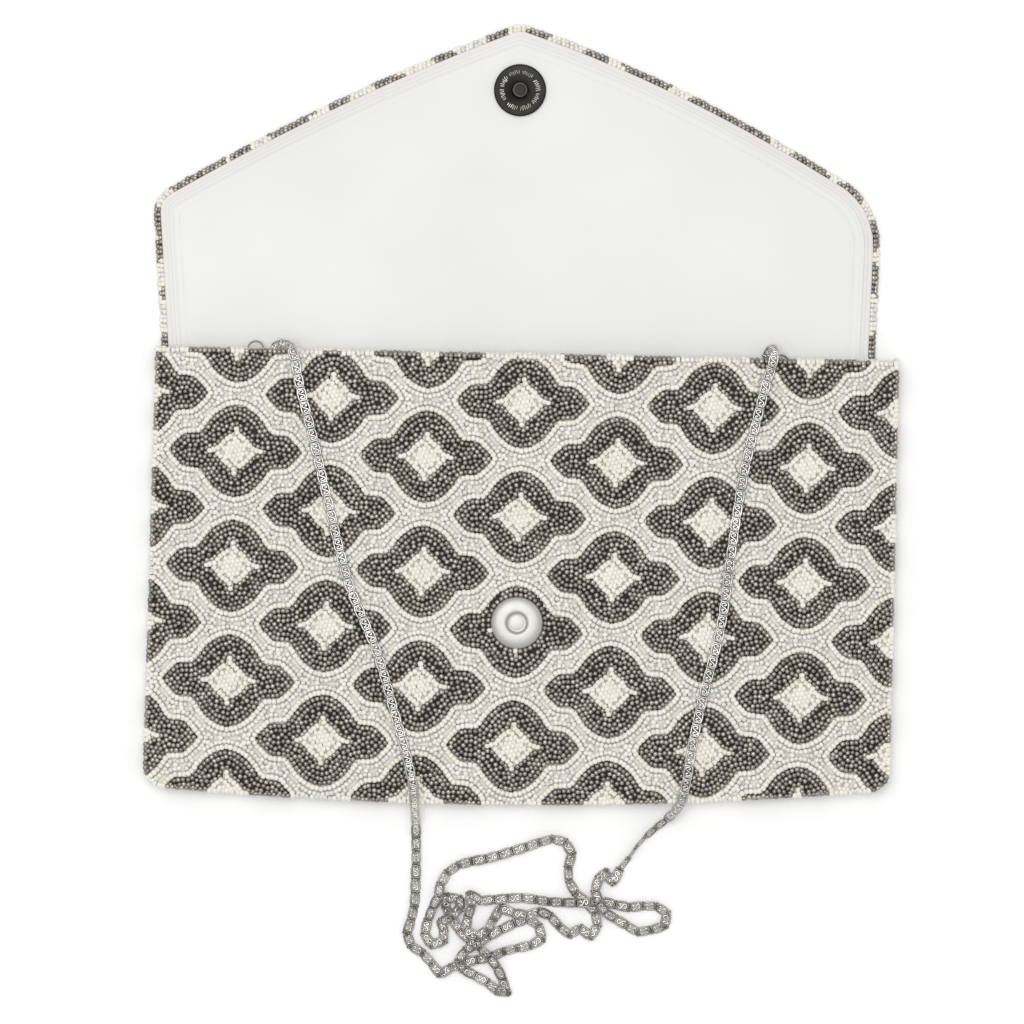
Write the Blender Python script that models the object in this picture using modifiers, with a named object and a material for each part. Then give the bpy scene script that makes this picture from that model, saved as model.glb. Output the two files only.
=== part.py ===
"""A beaded envelope clutch purse, lying on its back with the flap folded open.

Metres, +Z up, +Y towards the tip of the open flap. The origin is on the table, under the
middle of the purse. Dimensions are written in millimetres and scaled by MM.

The pouch is two stacks of layers, a back wall and a front wall, sewn together along the
sides and the bottom. The flap is the back wall carried on past the fold line. Closed, it
has turned half a turn about that line, and its snap half meets the one on the front.
"""

import math

import bmesh
import bpy
from mathutils import Matrix, Vector

MM = 0.001

# Driving dimensions of the pouch.
LENGTH = 268.8  # tip of the open flap to the lowest point of the bottom edge
HALF_WIDTH = 128.5
MOUTH_Y = 19.9
BOTTOM_BOW = 5.7  # the bottom edge is this much lower in the middle than at its corners
CORNER_RADIUS = 6.0
BOTTOM_Y = -LENGTH / 2
TIP_Y = LENGTH / 2

# The layers of a wall, outside to inside. FIT is the gap between neighbours.
BEADING = 1.4
WASHER = 0.3
BOARD = 0.5
LINING = 0.3
FIT = 0.2
WALL = BEADING + WASHER + BOARD + LINING + 3 * FIT
POCKET = 4.8  # clear height between the two linings
CLOSED_GAP = 2.8  # between the front beading and the lining of the closed flap

# Heights of the back wall's and the flap's layers.
BACK_WASHER_Z = BEADING + FIT
BACK_BOARD_Z = BACK_WASHER_Z + WASHER + FIT
BACK_LINING_Z = BACK_BOARD_Z + BOARD + FIT

# Heights of the front wall's layers, where the panel is flat.
FRONT_LINING_Z = WALL + POCKET
FRONT_WASHER_Z = FRONT_LINING_Z + LINING + FIT
FRONT_BOARD_Z = FRONT_WASHER_Z + WASHER + FIT
FRONT_BEADING_Z = FRONT_BOARD_Z + BOARD + FIT
FRONT_TOP_Z = FRONT_BEADING_Z + BEADING

# The front panel curves down to its side and bottom seams.
EDGE_DROP = 3.6
EDGE_REACH = 22.0

# The fold line, about which the flap turns.
FOLD_Y = MOUTH_Y + 0.15
FOLD_Z = (FRONT_TOP_Z + CLOSED_GAP + WALL) / 2

# Flap outline.
FLAP_Y = 2 * FOLD_Y - MOUTH_Y
FLAP_HALF_WIDTH = 122.8
SHOULDER_HALF_WIDTH = 125.0
SHOULDER_RADIUS = 9.0
TIP_RADIUS = 5.0
TIP_SLOPE = math.radians(25.5)
PIPING_RADIUS = 0.5
PIPING_INSET = 2.8
FLAP_LINING_INSET = 3.6
FLAP_BOARD_INSET = 5.5

# Inner layers stop short of the pouch's edges.
LINING_INSET = 1.5
BOARD_INSET = 5.0
FRONT_BOARD_INSET = 24.0

# Seam allowances between the two linings.
SEAM_WIDTH = 4.0
SEAM_INSET = 1.6
SEAM_HEIGHT = 0.7
SEAM_END_GAP = 9.0

# The magnetic snap, 18 mm across.
SNAP_RADIUS = 9.0
SNAP_Y = -71.8
FLAP_SNAP_Y = 2 * FOLD_Y - SNAP_Y
SNAP_HOLE_RADIUS = 9.4
WASHER_RADIUS = 7.0
PRONG_X = 4.2
PRONG_SIZE = (0.5, 3.0)
SLOT_CLEARANCE = 0.3

# Rings and ribbon loops in the mouth.
RING_X = 90.5
# The left ring stands out of the mouth, but inside the flap's turning circle.
RING_Y = {"left": 21.9, "right": 18.2}
RING_Z = {"left": 6.7, "right": 5.9}
RING_RADIUS = 2.75
RING_WIRE = 0.35
END_RING_RADIUS = 1.5
END_RING_WIRE = 0.28
END_RING_SHIFT = 3.5  # centre of the chain's end ring from the jump ring's, towards the middle
TAB_WIDTH = 2.6
TAB_THICKNESS = 0.4
TAB_ROOT_Y = 6.0
TAB_PAST_WIRE = 1.55  # how far a loop reaches past the wire of its ring
TAB_LOW_Z = 4.15
TAB_HIGH_Z = 7.65

# The chain strap, drawn as a plain round tube along its route.
CHAIN_RADIUS = 1.0
TABLE_REST = 0.05  # gap under the tube where it lies on the table
FRONT_REST = 0.35  # and where it lies on the front panel, which is curved
PASS_OVER = 2.6  # rise where one strand crosses another
SPAN_STEP = 13.0  # the tube has a point about this often
MOST_IN_SPAN = 2

# Route of the chain from the left ring to the right one, in millimetres. The first and
# last stretches wrap the mouth's edge, so they give x, y and z. On the front panel and on
# the table a point is x, y and the number of strands that it passes over.
WRAP_LEFT = [
    (-84.9, 22.3, 6.3),
    (-82.4, 23.6, 7.4),
    (-79.6, 23.8, 9.8),
    (-77.5, 21.3, 12.2),
]
DOWN_THE_FRONT = [
    (-75.2, 10.0, 0),
    (-70.0, -10.0, 0),
    (-64.0, -35.0, 0),
    (-57.5, -59.5, 0),
    (-48.0, -82.0, 0),
    (-41.5, -104.0, 0),
    (-38.0, -116.0, 0),
]
OFF_THE_EDGE_LEFT = [
    (-35.2, -129.0, 10.0),
    (-34.8, -135.4, 8.5),
    (-34.5, -139.4, 4.4),
    (-34.4, -144.5, 1.2),
]
ON_THE_TABLE = [
    (-34.4, -158.0, 0),
    (-35.1, -172.0, 0),
    (-37.4, -180.1, 0),
    (-35.3, -184.7, 0),
    (-30.9, -187.0, 0),
    (-27.6, -191.6, 0),
    (-25.1, -194.0, 0),
    (-21.7, -191.0, 0),
    (-15.7, -189.1, 0),
    (-8.4, -187.6, 0),
    (-2.6, -185.2, 0),
    (4.5, -183.7, 0),
    (9.0, -182.1, 0),
    (9.3, -179.1, 0),
    (7.7, -176.1, 0),
    (5.2, -174.4, 0),
    (0.4, -175.6, 0),
    (-5.1, -178.2, 0),
    (-10.1, -181.0, 0),
    (-13.5, -183.1, 0),
    (-17.9, -186.0, 0.5),
    (-19.7, -189.6, 1.1),
    (-17.3, -192.4, 0),
    (-11.5, -195.1, 0),
    (-6.9, -198.3, 0),
    (-4.1, -201.5, 0),
    (-3.0, -199.3, 0),
    (-4.7, -194.0, 0),
    (-8.0, -188.2, 1),
    (-13.3, -183.1, 1),
    (-18.1, -180.0, 0),
    (-21.3, -175.0, 0),
    (-24.0, -170.4, 0),
    (-25.0, -167.0, 0),
    (-21.3, -167.5, 0),
    (-17.2, -168.2, 0),
    (-19.4, -170.6, 0.5),
    (-21.7, -173.8, 1),
    (-24.3, -175.2, 0.4),
    (-27.1, -175.9, 0),
    (-24.9, -177.8, 0),
    (-23.8, -180.9, 0),
    (-26.0, -183.2, 0),
    (-29.3, -183.4, 0),
    (-31.2, -181.0, 0),
    (-30.8, -177.2, 0),
    (-29.6, -173.2, 0),
    (-27.8, -169.1, 0.4),
    (-26.1, -165.5, 1),
    (-25.5, -161.3, 0),
    (-20.7, -156.3, 0),
    (-8.0, -153.1, 0),
    (4.0, -149.4, 0),
    (14.6, -146.6, 0),
    (19.5, -150.4, 0),
    (18.1, -157.5, 0),
    (19.6, -163.8, 0),
    (24.5, -168.3, 0),
    (28.3, -173.5, 0),
    (28.0, -178.6, 0),
    (25.5, -180.4, 0),
    (23.3, -177.6, 0),
    (21.1, -177.4, 0),
    (18.7, -179.8, 0),
    (15.1, -176.7, 0),
    (10.0, -171.4, 0),
    (7.1, -172.1, 0.7),
    (3.5, -173.0, 0.5),
    (-1.3, -172.1, 0),
    (-5.8, -170.6, 0),
    (-7.0, -173.7, 0),
    (-9.2, -177.4, 0.4),
    (-11.8, -180.4, 1),
    (-15.1, -179.8, 1),
    (-17.6, -177.1, 0.5),
    (-16.7, -174.8, 0),
    (-15.1, -171.5, 0.3),
    (-15.3, -168.2, 1),
    (-15.7, -165.7, 0.6),
    (-13.4, -167.9, 0.4),
    (-8.9, -167.9, 0),
    (2.0, -167.0, 0),
    (12.0, -168.4, 0),
    (19.4, -168.6, 0.4),
    (24.5, -168.4, 1),
    (30.0, -168.0, 0),
    (33.7, -168.8, 0),
    (37.0, -170.2, 0),
    (45.0, -169.6, 0),
    (51.8, -170.6, 0),
    (52.4, -175.8, 0),
    (46.5, -178.0, 0),
    (40.0, -178.4, 0),
    (37.5, -174.6, 0),
    (33.6, -174.0, 0),
    (30.8, -171.5, 0.5),
    (28.9, -167.9, 1.3),
    (27.5, -164.4, 0.5),
    (28.7, -160.8, 0),
    (29.8, -157.1, 0),
    (31.2, -159.4, 0),
    (33.6, -161.7, 0),
    (35.3, -158.1, 0),
    (38.6, -153.8, 0),
    (43.4, -147.2, 0),
]
OFF_THE_EDGE_RIGHT = [
    (49.6, -141.6, 1.6),
    (53.6, -138.2, 4.6),
    (56.2, -134.8, 8.4),
    (58.2, -128.4, 10.2),
]
UP_THE_FRONT = [
    (60.4, -114.0, 0),
    (64.0, -97.0, 0),
    (70.0, -73.0, 0),
    (73.6, -46.0, 0),
    (77.6, -20.0, 0),
    (82.6, 1.0, 0),
    (85.4, 12.0, 0),
]
WRAP_RIGHT = [
    (88.0, 20.0, 12.3),
    (87.8, 23.4, 10.2),
    (86.8, 23.0, 7.2),
    (85.4, 20.2, 6.0),
]

# Colours as red, green and blue, with roughness and metallic value.
LOOKS = {
    "glass_beads": ((0.36, 0.35, 0.33), 0.35, 0.0),
    "interfacing": ((0.80, 0.78, 0.73), 0.9, 0.0),
    "white_satin": ((0.90, 0.90, 0.88), 0.5, 0.0),
    "ribbon": ((0.86, 0.85, 0.82), 0.6, 0.0),
    "polished_nickel": ((0.78, 0.77, 0.74), 0.2, 1.0),
    "gunmetal": ((0.10, 0.10, 0.10), 0.3, 1.0),
    "magnet": ((0.12, 0.12, 0.13), 0.5, 0.6),
    "plain_steel": ((0.62, 0.62, 0.62), 0.35, 1.0),
    "silver_chain": ((0.72, 0.72, 0.70), 0.2, 1.0),
}


# ---------------------------------------------------------------- scene and materials


def clear_scene():
    for obj in list(bpy.data.objects):
        bpy.data.objects.remove(obj, do_unlink=True)


def new_collection(name):
    collection = bpy.data.collections.new(name)
    bpy.context.scene.collection.children.link(collection)
    return collection


def make_material(name):
    colour, roughness, metallic = LOOKS[name]
    material = bpy.data.materials.new(name)
    material.use_nodes = True
    shader = material.node_tree.nodes["Principled BSDF"]
    shader.inputs["Base Color"].default_value = (*colour, 1.0)
    shader.inputs["Roughness"].default_value = roughness
    shader.inputs["Metallic"].default_value = metallic
    return material


def add_object(name, data, look, parent=None):
    """A part in the purse's collection. Its place is given in world coordinates."""
    obj = bpy.data.objects.new(name, data)
    PURSE.objects.link(obj)
    data.materials.append(MATERIALS[look])
    if parent is not None:
        obj.parent = parent
        obj.matrix_parent_inverse = parent.matrix_world.inverted()
    return obj


def add_cutter(name, mesh):
    obj = bpy.data.objects.new(name, mesh)
    CUTTERS.objects.link(obj)
    obj.hide_render = True
    obj.display_type = "WIRE"
    return obj


def boolean(obj, cutter, operation):
    modifier = obj.modifiers.new(cutter.name, "BOOLEAN")
    modifier.operation = operation
    modifier.object = cutter


# ---------------------------------------------------------------- outlines


def smoothstep(t):
    t = min(max(t, 0.0), 1.0)
    return t * t * (3 - 2 * t)


def bottom_edge(x):
    """Height of the bowed bottom edge at x."""
    return BOTTOM_Y + BOTTOM_BOW * (x / HALF_WIDTH) ** 2


def side_edge(height, inset=0.0):
    """Half width of the pouch at a height above its bottom edge, rounded at the corners."""
    radius = CORNER_RADIUS
    reach = min(max(radius - (height - inset), 0.0), radius)
    rounding = radius - math.sqrt(radius**2 - reach**2)
    return HALF_WIDTH - inset - rounding


def pouch_outline(inset=0.0, top=MOUTH_Y, bow_steps=10, corner_steps=4):
    """Points around a pouch panel, from its top left corner down and round to the right."""
    left = []
    for i in range(corner_steps + 1):
        height = CORNER_RADIUS * (1 - math.sin(math.pi / 2 * i / corner_steps))
        x = -side_edge(height + inset, inset)
        left.append((x, bottom_edge(x) + inset + height))
    first = left[-1][0]
    bow = []
    for i in range(1, bow_steps):
        x = first * (1 - 2 * i / bow_steps)
        bow.append((x, bottom_edge(x) + inset))
    right = [(-x, y) for x, y in reversed(left)]
    side = HALF_WIDTH - inset
    return [(-side, top)] + left + bow + right + [(side, top)]


def rounded(corners, steps=5):
    """Points of a polyline whose corners, given as (x, y, radius), become arcs."""
    points = []
    for i, (x, y, radius) in enumerate(corners):
        here = Vector((x, y))
        if radius == 0:
            points.append((x, y))
            continue
        back = (Vector(corners[i - 1][:2]) - here).normalized()
        ahead = (Vector(corners[i + 1][:2]) - here).normalized()
        half = back.angle(ahead) / 2
        centre = here + (back + ahead).normalized() * radius / math.sin(half)
        reach = radius / math.tan(half)
        start = here + back * reach - centre
        turn = start.angle_signed(here + ahead * reach - centre)
        for k in range(steps + 1):
            arm = start.copy()
            arm.rotate(Matrix.Rotation(-turn * k / steps, 2))
            points.append(tuple(centre + arm))
    return points


def flap_outline(inset=0.0):
    """Points round the flap's free edge, from the fold at the left to the fold at the right."""
    slope = math.tan(TIP_SLOPE)
    tip_cut = TIP_RADIUS * (1 / math.cos(TIP_SLOPE) - 1)
    tip = TIP_Y + tip_cut - inset / math.cos(TIP_SLOPE)
    shoulder_x = SHOULDER_HALF_WIDTH - inset
    shoulder_y = tip - slope * shoulder_x
    shoulder_radius = SHOULDER_RADIUS - inset
    corners = [
        (-(FLAP_HALF_WIDTH - inset), FLAP_Y, 0),
        (-shoulder_x, shoulder_y, shoulder_radius),
        (0, tip, TIP_RADIUS - inset / 2),
        (shoulder_x, shoulder_y, shoulder_radius),
        (FLAP_HALF_WIDTH - inset, FLAP_Y, 0),
    ]
    return rounded(corners)


def slot_outlines(y):
    """The two slots that a snap's prongs pass through."""
    half_x = PRONG_SIZE[0] / 2 + SLOT_CLEARANCE
    half_y = PRONG_SIZE[1] / 2 + SLOT_CLEARANCE
    slots = []
    for x in (-PRONG_X, PRONG_X):
        slots.append(
            [
                (x - half_x, y - half_y),
                (x + half_x, y - half_y),
                (x + half_x, y + half_y),
                (x - half_x, y + half_y),
            ]
        )
    return slots


def circle_outline(radius, y, steps=32):
    angles = [2 * math.pi * i / steps for i in range(steps)]
    return [(radius * math.cos(a), y + radius * math.sin(a)) for a in angles]


# ---------------------------------------------------------------- kinds of piece


def plate(name, look, outlines, low, thickness, parent=None):
    """A flat piece: filled outlines, the first being the edge and the rest its holes."""
    curve = bpy.data.curves.new(name, "CURVE")
    curve.dimensions = "2D"
    curve.fill_mode = "BOTH"
    curve.extrude = thickness / 2 * MM
    for outline in outlines:
        spline = curve.splines.new("POLY")
        spline.points.add(len(outline) - 1)
        for point, (x, y) in zip(spline.points, outline):
            point.co = (x * MM, y * MM, 0, 1)
        spline.use_cyclic_u = True
    obj = add_object(name, curve, look, parent)
    obj.location.z = (low + thickness / 2) * MM
    return obj


def turned(name, look, profile, y, parent=None, closed=False, steps=36):
    """A round piece: a profile of (radius, height) points turned about the Z axis at y."""
    mesh = bpy.data.meshes.new(name)
    outline = bmesh.new()
    points = [outline.verts.new((radius * MM, 0, z * MM)) for radius, z in profile]
    ends = points[1:] + points[:1] if closed else points[1:]
    for start, end in zip(points, ends):
        outline.edges.new((start, end))
    outline.to_mesh(mesh)
    outline.free()
    obj = add_object(name, mesh, look, parent)
    obj.location.y = y * MM
    screw = obj.modifiers.new("turn", "SCREW")
    screw.axis = "Z"
    screw.steps = steps
    screw.render_steps = steps
    screw.use_merge_vertices = True
    screw.merge_threshold = 0.00001
    screw.use_smooth_shade = True
    return obj


def ring(name, look, centre, radius, wire, upright=False, parent=None):
    """A wire ring, lying flat or standing with its axis along Y."""
    turn = Matrix.Rotation(math.pi / 2, 3, "X") if upright else Matrix.Identity(3)
    bpy.ops.mesh.primitive_torus_add(
        major_radius=radius * MM,
        minor_radius=wire * MM,
        major_segments=20,
        minor_segments=8,
    )
    made = bpy.context.object
    mesh = made.data
    bpy.data.objects.remove(made)
    mesh.shade_smooth()
    obj = add_object(name, mesh, look, parent)
    obj.matrix_world = Matrix.Translation(Vector(centre) * MM) @ turn.to_4x4()
    return obj


def tube(name, look, points, radius, parent=None):
    """A round cord with capped ends through points given in millimetres."""
    curve = bpy.data.curves.new(name, "CURVE")
    curve.dimensions = "3D"
    curve.bevel_depth = radius * MM
    curve.bevel_resolution = 2
    curve.use_fill_caps = True
    spline = curve.splines.new("POLY")
    spline.points.add(len(points) - 1)
    for point, place in zip(spline.points, points):
        point.co = (*(Vector(place) * MM), 1)
    return add_object(name, curve, look, parent)


def box_mesh(name, low, high):
    """A box between two corners given in millimetres."""
    mesh = bpy.data.meshes.new(name)
    box = bmesh.new()
    size = (Vector(high) - Vector(low)) * MM
    middle = (Vector(high) + Vector(low)) / 2 * MM
    place = Matrix.Translation(middle) @ Matrix.Diagonal((*size, 1))
    bmesh.ops.create_cube(box, size=1, matrix=place)
    box.to_mesh(mesh)
    box.free()
    return mesh


# ---------------------------------------------------------------- the pouch


def edge_drop(x, y):
    """How far the front panel has curved down at a point, near its sides and bottom."""
    from_side = HALF_WIDTH - abs(x)
    from_bottom = y - bottom_edge(x)
    side = smoothstep(1 - from_side / EDGE_REACH)
    bottom = smoothstep(1 - from_bottom / EDGE_REACH)
    return EDGE_DROP * (1 - (1 - side) * (1 - bottom))


def crowned_sheet(name, look, inset, low, thickness):
    """A layer of the front wall: flat in the middle, curved down at the seams."""
    half_columns = [0.0, 0.25, 0.5, 0.72, 0.83, 0.88, 0.93, 0.97, 1.0]
    columns = [-u for u in reversed(half_columns[1:])] + half_columns
    heights = [0.0, 1.0, 2.6, 6.0, 10.0, 15.0, 21.0, 60.0]
    mesh = bpy.data.meshes.new(name)
    sheet = bmesh.new()
    bmesh.ops.create_grid(
        sheet,
        x_segments=len(columns) - 1,
        y_segments=len(heights),
        size=1,
    )
    for vert in sheet.verts:
        column = round((vert.co.x + 1) / 2 * (len(columns) - 1))
        row = round((vert.co.y + 1) / 2 * len(heights))
        place_on_panel(vert, columns[column], heights[row:], inset)
        vert.co.z = (low - edge_drop(vert.co.x, vert.co.y)) * MM
        vert.co.x *= MM
        vert.co.y *= MM
    sheet.to_mesh(mesh)
    sheet.free()
    obj = add_object(name, mesh, look)
    solidify = obj.modifiers.new("thickness", "SOLIDIFY")
    solidify.thickness = thickness * MM
    solidify.offset = 1.0
    solidify.use_even_offset = True
    return obj


def place_on_panel(vert, across, heights_left, inset):
    """Moves a grid point to its share of the width, at the first of the heights left."""
    if not heights_left:
        vert.co.x = across * (HALF_WIDTH - inset)
        vert.co.y = MOUTH_Y
        return
    height = heights_left[0] + inset
    vert.co.x = across * side_edge(height, inset)
    vert.co.y = bottom_edge(vert.co.x) + height


def make_back_wall():
    plate("back_beading", "glass_beads", [pouch_outline()], 0, BEADING)
    board = pouch_outline(BOARD_INSET)
    plate("back_interfacing", "interfacing", [board], BACK_BOARD_Z, BOARD)
    lining = pouch_outline(LINING_INSET)
    plate("back_lining", "white_satin", [lining], BACK_LINING_Z, LINING)


def make_front_wall():
    beading = crowned_sheet("front_beading", "glass_beads", 0, FRONT_BEADING_Z, BEADING)
    hole = bpy.data.meshes.new("snap_hole")
    cylinder = bmesh.new()
    bmesh.ops.create_cone(
        cylinder,
        cap_ends=True,
        segments=36,
        radius1=SNAP_HOLE_RADIUS * MM,
        radius2=SNAP_HOLE_RADIUS * MM,
        depth=4 * BEADING * MM,
    )
    cylinder.to_mesh(hole)
    cylinder.free()
    cutter = add_cutter("snap_hole", hole)
    cutter.location = Vector((0, SNAP_Y, FRONT_BEADING_Z)) * MM
    boolean(beading, cutter, "DIFFERENCE")

    half_board = HALF_WIDTH - FRONT_BOARD_INSET
    board_low = BOTTOM_Y + FRONT_BOARD_INSET
    board_high = MOUTH_Y - LINING_INSET
    board = rounded(
        [
            (-half_board, board_high, 0),
            (-half_board, board_low, CORNER_RADIUS),
            (half_board, board_low, CORNER_RADIUS),
            (half_board, board_high, 0),
        ]
    )
    outlines = [board] + slot_outlines(SNAP_Y)
    plate("front_interfacing", "interfacing", outlines, FRONT_BOARD_Z, BOARD)
    crowned_sheet("front_lining", "white_satin", LINING_INSET, FRONT_LINING_Z, LINING)


def make_seams():
    """Seam allowances, flat strips between the two linings along the sides and the bottom."""
    low = WALL + FIT
    outer = HALF_WIDTH - SEAM_INSET
    inner = outer - SEAM_WIDTH
    top = MOUTH_Y - SEAM_INSET
    foot = bottom_edge(outer) + SEAM_END_GAP
    for name, side in (("side_seam_left", -1), ("side_seam_right", 1)):
        strip = [
            (side * outer, foot),
            (side * inner, foot),
            (side * inner, top),
            (side * outer, top),
        ]
        plate(name, "ribbon", [strip], low, SEAM_HEIGHT)
    reach = HALF_WIDTH - SEAM_END_GAP
    across = [reach * (i / 5 - 1) for i in range(11)]
    under = [(x, bottom_edge(x) + SEAM_INSET) for x in across]
    over = [(x, y + SEAM_WIDTH) for x, y in reversed(under)]
    plate("bottom_seam", "ribbon", [under + over], low, SEAM_HEIGHT)


# ---------------------------------------------------------------- the flap


def make_flap(fold):
    plate("flap_beading", "glass_beads", [flap_outline()], 0, BEADING, fold)
    board = [flap_outline(FLAP_BOARD_INSET)] + slot_outlines(FLAP_SNAP_Y)
    plate("flap_interfacing", "interfacing", board, BACK_BOARD_Z, BOARD, fold)
    lining = [flap_outline(FLAP_LINING_INSET)] + slot_outlines(FLAP_SNAP_Y)
    plate("flap_lining", "white_satin", lining, BACK_LINING_Z, LINING, fold)
    height = BEADING + FIT + PIPING_RADIUS
    route = [(x, y, height) for x, y in flap_outline(PIPING_INSET)]
    tube("flap_piping", "white_satin", route, PIPING_RADIUS, fold)


# ---------------------------------------------------------------- the magnetic snap


def prongs(obj, low, high, y):
    """Joins two prongs that run from height low to height high onto a round base."""
    half_x = PRONG_SIZE[0] / 2
    half_y = PRONG_SIZE[1] / 2
    for side, x in (("left", -PRONG_X), ("right", PRONG_X)):
        corner = (x - half_x, y - half_y, low)
        far_corner = (x + half_x, y + half_y, high)
        name = f"{obj.name}_prong_{side}"
        boolean(obj, add_cutter(name, box_mesh(name, corner, far_corner)), "UNION")


def make_socket():
    """The front's half: a hollow cap over a ring magnet, closed by a base with a rivet."""
    seat = FRONT_BEADING_Z + 0.05
    top = FRONT_TOP_Z + 1.3
    bore = 3.4
    wall = 0.5
    cavity = top - 0.7
    case = [
        (bore + wall, top),
        (6.6, top - 0.1),
        (7.9, top - 0.4),
        (8.7, top - 1.0),
        (SNAP_RADIUS, top - 1.7),
        (SNAP_RADIUS, seat),
        (SNAP_RADIUS - wall, seat),
        (SNAP_RADIUS - wall, top - 1.8),
        (8.1, top - 1.4),
        (7.4, cavity - 0.2),
        (bore + wall, cavity),
        (bore + wall, seat + 0.8),
        (bore, seat + 0.8),
        (bore, top - 0.3),
    ]
    turned("snap_socket_case", "polished_nickel", case, SNAP_Y, closed=True)

    magnet_low = seat + 0.6
    magnet_high = cavity - 0.45
    magnet = [
        (7.2, magnet_high),
        (7.2, magnet_low),
        (bore + wall + FIT, magnet_low),
        (bore + wall + FIT, magnet_high),
    ]
    turned("snap_socket_magnet", "magnet", magnet, SNAP_Y, closed=True)

    plate_top = seat + 0.4
    rivet = 2.6
    rivet_top = seat + 1.1
    base = [
        (0, rivet_top),
        (rivet - 0.2, rivet_top),
        (rivet, rivet_top - 0.2),
        (rivet, plate_top),
        (SNAP_RADIUS - wall - FIT, plate_top),
        (SNAP_RADIUS - wall - FIT, seat),
        (0, seat),
    ]
    obj = turned("snap_socket_base", "polished_nickel", base, SNAP_Y)
    prongs(obj, FRONT_WASHER_Z, seat + 0.2, SNAP_Y)

    washer = [circle_outline(WASHER_RADIUS, SNAP_Y)] + slot_outlines(SNAP_Y)
    plate("snap_socket_washer", "plain_steel", washer, FRONT_WASHER_Z, WASHER)


def make_stud(fold):
    """The flap's half: a dark disc with prongs, and a post riveted through its middle."""
    seat = WALL + FIT
    top = seat + 1.0
    hole = 1.4
    disc = [
        (SNAP_RADIUS - 0.4, top),
        (SNAP_RADIUS, top - 0.3),
        (SNAP_RADIUS, seat),
        (hole, seat),
        (hole, top),
    ]
    disc_obj = turned("snap_stud_plate", "gunmetal", disc, FLAP_SNAP_Y, fold, closed=True)
    prongs(disc_obj, BACK_WASHER_Z, seat + 0.5, FLAP_SNAP_Y)

    post = 2.5
    post_top = top + 1.5
    shank = hole - FIT
    profile = [
        (0, post_top - 0.3),
        (0.9, post_top - 0.3),
        (1.2, post_top),
        (post - 0.2, post_top),
        (post, post_top - 0.2),
        (post, top + FIT),
        (shank, top + FIT),
        (shank, seat),
        (0, seat),
    ]
    turned("snap_stud_post", "gunmetal", profile, FLAP_SNAP_Y, fold, steps=28)

    washer = [circle_outline(WASHER_RADIUS, FLAP_SNAP_Y)] + slot_outlines(FLAP_SNAP_Y)
    plate("snap_stud_washer", "plain_steel", washer, BACK_WASHER_Z, WASHER, fold)


# ---------------------------------------------------------------- rings, loops and chain


def tab_outline(end_y, margin=0.0):
    """A ribbon loop seen from the side: y and z of a slot shape with one round end."""
    low = TAB_LOW_Z + margin
    high = TAB_HIGH_Z - margin
    radius = (high - low) / 2
    end = end_y - margin - radius
    middle = (low + high) / 2
    points = [(TAB_ROOT_Y + margin, high), (TAB_ROOT_Y + margin, low)]
    for i in range(9):
        angle = math.pi * (i / 8 - 0.5)
        points.append((end + radius * math.cos(angle), middle + radius * math.sin(angle)))
    return points


def make_tab(name, x, end_y):
    """A ribbon loop sewn inside the mouth, standing in a plane of constant x."""
    outlines = [tab_outline(end_y), tab_outline(end_y, TAB_THICKNESS)]
    obj = plate(name, "ribbon", outlines, 0, TAB_WIDTH)
    upright = Matrix(((0, 0, 1), (1, 0, 0), (0, 1, 0))).to_4x4()
    obj.matrix_world = Matrix.Translation((x * MM, 0, 0)) @ upright


def make_rings():
    for side, sign in (("left", -1), ("right", 1)):
        x = sign * RING_X
        y = RING_Y[side]
        make_tab(f"strap_tab_{side}", x, y - RING_RADIUS + TAB_PAST_WIRE)
        z = RING_Z[side]
        centre = (x, y, z)
        ring(f"jump_ring_{side}", "polished_nickel", centre, RING_RADIUS, RING_WIRE)
        end_centre = (x - sign * END_RING_SHIFT, y, z)
        name = f"chain_end_ring_{side}"
        ring(name, "silver_chain", end_centre, END_RING_RADIUS, END_RING_WIRE, upright=True)


def on_the_front(points):
    """Rests route points on the front panel."""
    rise = FRONT_TOP_Z + FRONT_REST + CHAIN_RADIUS
    return [(x, y, rise - edge_drop(x, y) + over * PASS_OVER) for x, y, over in points]


def on_the_table(points):
    rise = CHAIN_RADIUS + TABLE_REST
    return [(x, y, rise + over * PASS_OVER) for x, y, over in points]


def chain_route():
    route = list(WRAP_LEFT)
    route += on_the_front(DOWN_THE_FRONT)
    route += OFF_THE_EDGE_LEFT
    route += on_the_table(ON_THE_TABLE)
    route += OFF_THE_EDGE_RIGHT
    route += on_the_front(UP_THE_FRONT)
    route += WRAP_RIGHT
    return [Vector(point) for point in route]


def smooth_curve(route):
    """Points on a centripetal Catmull-Rom curve through the route, a few in each span."""
    ends = [2 * route[0] - route[1]] + route + [2 * route[-1] - route[-2]]
    points = []
    for a, b, c, d in zip(ends, ends[1:], ends[2:], ends[3:]):
        count = min(max(round((c - b).length / SPAN_STEP), 1), MOST_IN_SPAN)
        for i in range(count):
            points.append(centripetal(a, b, c, d, i / count))
    return points + [route[-1]]


def centripetal(a, b, c, d, t):
    """The point at t, from 0 to 1, of the span from b to c."""
    t1 = math.sqrt((b - a).length)
    t2 = t1 + math.sqrt((c - b).length)
    t3 = t2 + math.sqrt((d - c).length)
    now = t1 + (t2 - t1) * t
    ab = a.lerp(b, now / t1)
    bc = b.lerp(c, t)
    cd = c.lerp(d, (now - t2) / (t3 - t2))
    abc = ab.lerp(bc, now / t2)
    bcd = bc.lerp(cd, (now - t1) / (t3 - t1))
    return abc.lerp(bcd, t)


def make_chain():
    tube("chain", "silver_chain", smooth_curve(chain_route()), CHAIN_RADIUS)


# ---------------------------------------------------------------- assembly


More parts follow.
